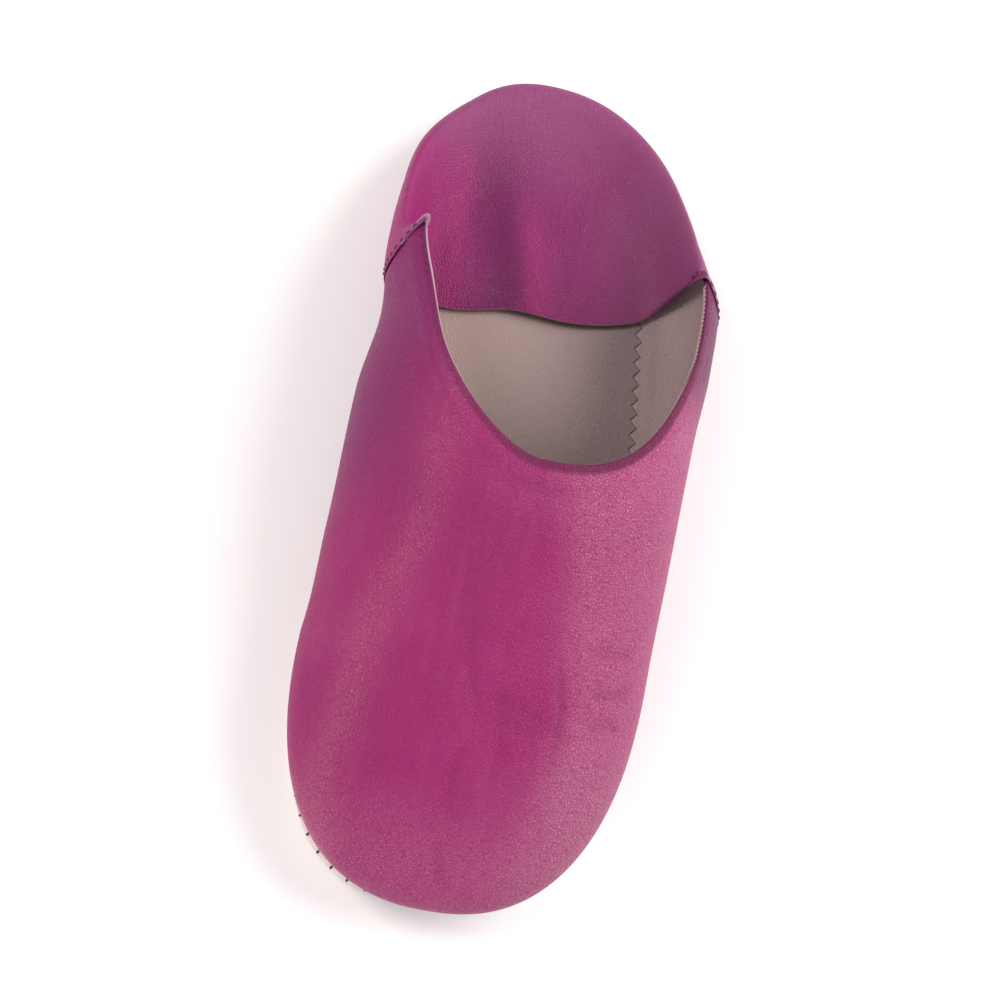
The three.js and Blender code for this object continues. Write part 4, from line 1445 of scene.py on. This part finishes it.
class SLIPPER_OT_stitching(bpy.types.Operator):
    """Sews the sole's edge, the side seams and the collar's ends"""

    bl_idname = "slipper.stitching"
    bl_label = "Stitching"

    def execute(self, context):
        thread_material()
        size = sizes()
        width = size.thread_width
        rim, inside = (
            outline_loop(SOLE_KEYS, *end, sole_cut(SOLE_KEYS)) for end in (SOLE_STITCH_OUT, SOLE_STITCH_IN))
        places = walk(rim, size.sole_stitch_pitch)
        ends = sample(rim, places)
        upward = np.tile([0.0, 0.0, 1.0], (len(ends), 1))
        obj = stitches(
            "sole_stitches", ends, ends - sample(inside, places), upward, SOLE_STITCH_LENGTH, width)
        settle(obj, "sole_leather")

        back = dressed_quarter()
        outward = normals_of(back, QUARTER_TUCK_ROWS)
        runs = [stitch_run(
            back[rib, SEAM_STITCH_ROWS], outward[rib, SEAM_STITCH_ROWS], size.seam_stitch_pitch,
            SEAM_STITCH_START) for rib in SEAM_STITCH_RIBS]
        seams = [np.concatenate(arrays) for arrays in zip(*runs)]
        settle(stitches("seam_stitches", *seams, SEAM_STITCH_LENGTH, width), "quarter_leather")

        vamp = dressed_vamp()
        left = distance_from_end(vamp)
        path, normal = (np.array([
            [np.interp(-COLLAR_STITCH_DEPTH, -left[i], skin[i, :, axis]) for axis in range(3)]
            for i in COLLAR_STITCH_RIBS]) for skin in (vamp, normals_of(vamp, VAMP_TUCK_ROWS)))
        run = stitch_run(path, normal, size.collar_stitch_pitch, COLLAR_STITCH_START, COLLAR_STITCH_COUNT)
        settle(stitches("collar_stitches", *run, COLLAR_STITCH_LENGTH, width), "vamp_leather")
        return {"FINISHED"}


def area_light(row, aim):
    data = bpy.data.lights.new(row["name"], "AREA")
    data.shape = "DISK"
    data.size = row["size"]
    data.energy = row["power"]
    data.color = row["tint"]
    light = bpy.data.objects.new(row["name"], data)
    light.location = aim + Vector(row["from"])
    light.rotation_euler = (-Vector(row["from"])).to_track_quat("-Z", "Y").to_euler()
    bpy.context.scene.collection.objects.link(light)


def camera_axes():
    """The camera's right, up and back directions, from its angles round the slipper."""
    azimuth, elevation, roll = (math.radians(a) for a in (CAMERA_AZIMUTH, CAMERA_ELEVATION, CAMERA_ROLL))
    level = math.cos(elevation)
    back = Vector((math.sin(azimuth) * level, -math.cos(azimuth) * level, math.sin(elevation)))
    right = (-back).cross(Vector((0, 0, 1))).normalized()
    up = right.cross(-back)
    turned_right = right * math.cos(roll) + up * math.sin(roll)
    turned_up = up * math.cos(roll) - right * math.sin(roll)
    return turned_right, turned_up, back


class SLIPPER_OT_stage(bpy.types.Operator):
    """Sets the floor, the soft lights and the camera"""

    bl_idname = "slipper.stage"
    bl_label = "Stage"

    def execute(self, context):
        scene = context.scene
        scene.view_settings.view_transform = "Standard"
        floor_mesh = bpy.data.meshes.new("floor")
        corners = [(x * FLOOR_REACH, y * FLOOR_REACH, 0) for x, y in ((-1, -1), (1, -1), (1, 1), (-1, 1))]
        floor_mesh.from_pydata(corners, [], [(0, 1, 2, 3)])
        floor = bpy.data.objects.new("floor", floor_mesh)
        scene.collection.objects.link(floor)
        material, _, shader = new_material("Pale floor")
        shader.inputs["Base Color"].default_value = (*colours().floor, 1.0)
        shader.inputs["Roughness"].default_value = 0.9
        floor_mesh.materials.append(material)

        world = bpy.data.worlds.new("Soft room")
        world.use_nodes = True
        background = world.node_tree.nodes["Background"]
        background.inputs["Color"].default_value = (1.0, 1.0, 1.0, 1.0)
        background.inputs["Strength"].default_value = WORLD_STRENGTH
        scene.world = world

        right, up, back = camera_axes()
        aim = Vector((np.array([CAMERA_AIM[key] for key in ("across", "along", "up")]) - ORIGIN) * MM)
        for row in LIGHTS:
            area_light(row, aim)

        data = bpy.data.cameras.new("camera")
        data.lens = CAMERA_LENS
        data.sensor_width = CAMERA_SENSOR
        data.clip_start = CAMERA_CLIP_START
        camera = bpy.data.objects.new("camera", data)
        turn = Matrix((right, up, back)).transposed().to_4x4()
        camera.matrix_world = Matrix.Translation(aim + back * CAMERA_DISTANCE * MM) @ turn
        scene.collection.objects.link(camera)
        scene.camera = camera
        return {"FINISHED"}


OPERATORS = (
    SLIPPER_OT_outsole, SLIPPER_OT_insole, SLIPPER_OT_vamp, SLIPPER_OT_lining,
    SLIPPER_OT_quarter, SLIPPER_OT_stitching, SLIPPER_OT_stage,
)


class SLIPPER_PT_panel(bpy.types.Panel):
    """Lists the slipper's pieces, sizes and colours"""

    bl_idname = "SLIPPER_PT_panel"
    bl_label = "Babouche slipper"
    bl_space_type = "VIEW_3D"
    bl_region_type = "UI"
    bl_category = "Slipper"

    def draw(self, context):
        for operator in OPERATORS:
            self.layout.operator(operator.bl_idname)
        for group in (sizes(), colours()):
            for key in group.__annotations__:
                self.layout.prop(group, key)


CLASSES = (SlipperSizes, SlipperColours, *OPERATORS, SLIPPER_PT_panel)


def register():
    for cls in CLASSES:
        bpy.utils.register_class(cls)
    bpy.types.Scene.slipper_sizes = bpy.props.PointerProperty(type=SlipperSizes)
    bpy.types.Scene.slipper_colours = bpy.props.PointerProperty(type=SlipperColours)


def unregister():
    del bpy.types.Scene.slipper_colours
    del bpy.types.Scene.slipper_sizes
    for cls in reversed(CLASSES):
        bpy.utils.unregister_class(cls)


def main():
    register()
    for operator in OPERATORS:
        family, verb = operator.bl_idname.split(".")
        getattr(getattr(bpy.ops, family), verb)()


if __name__ == "__main__":
    main()
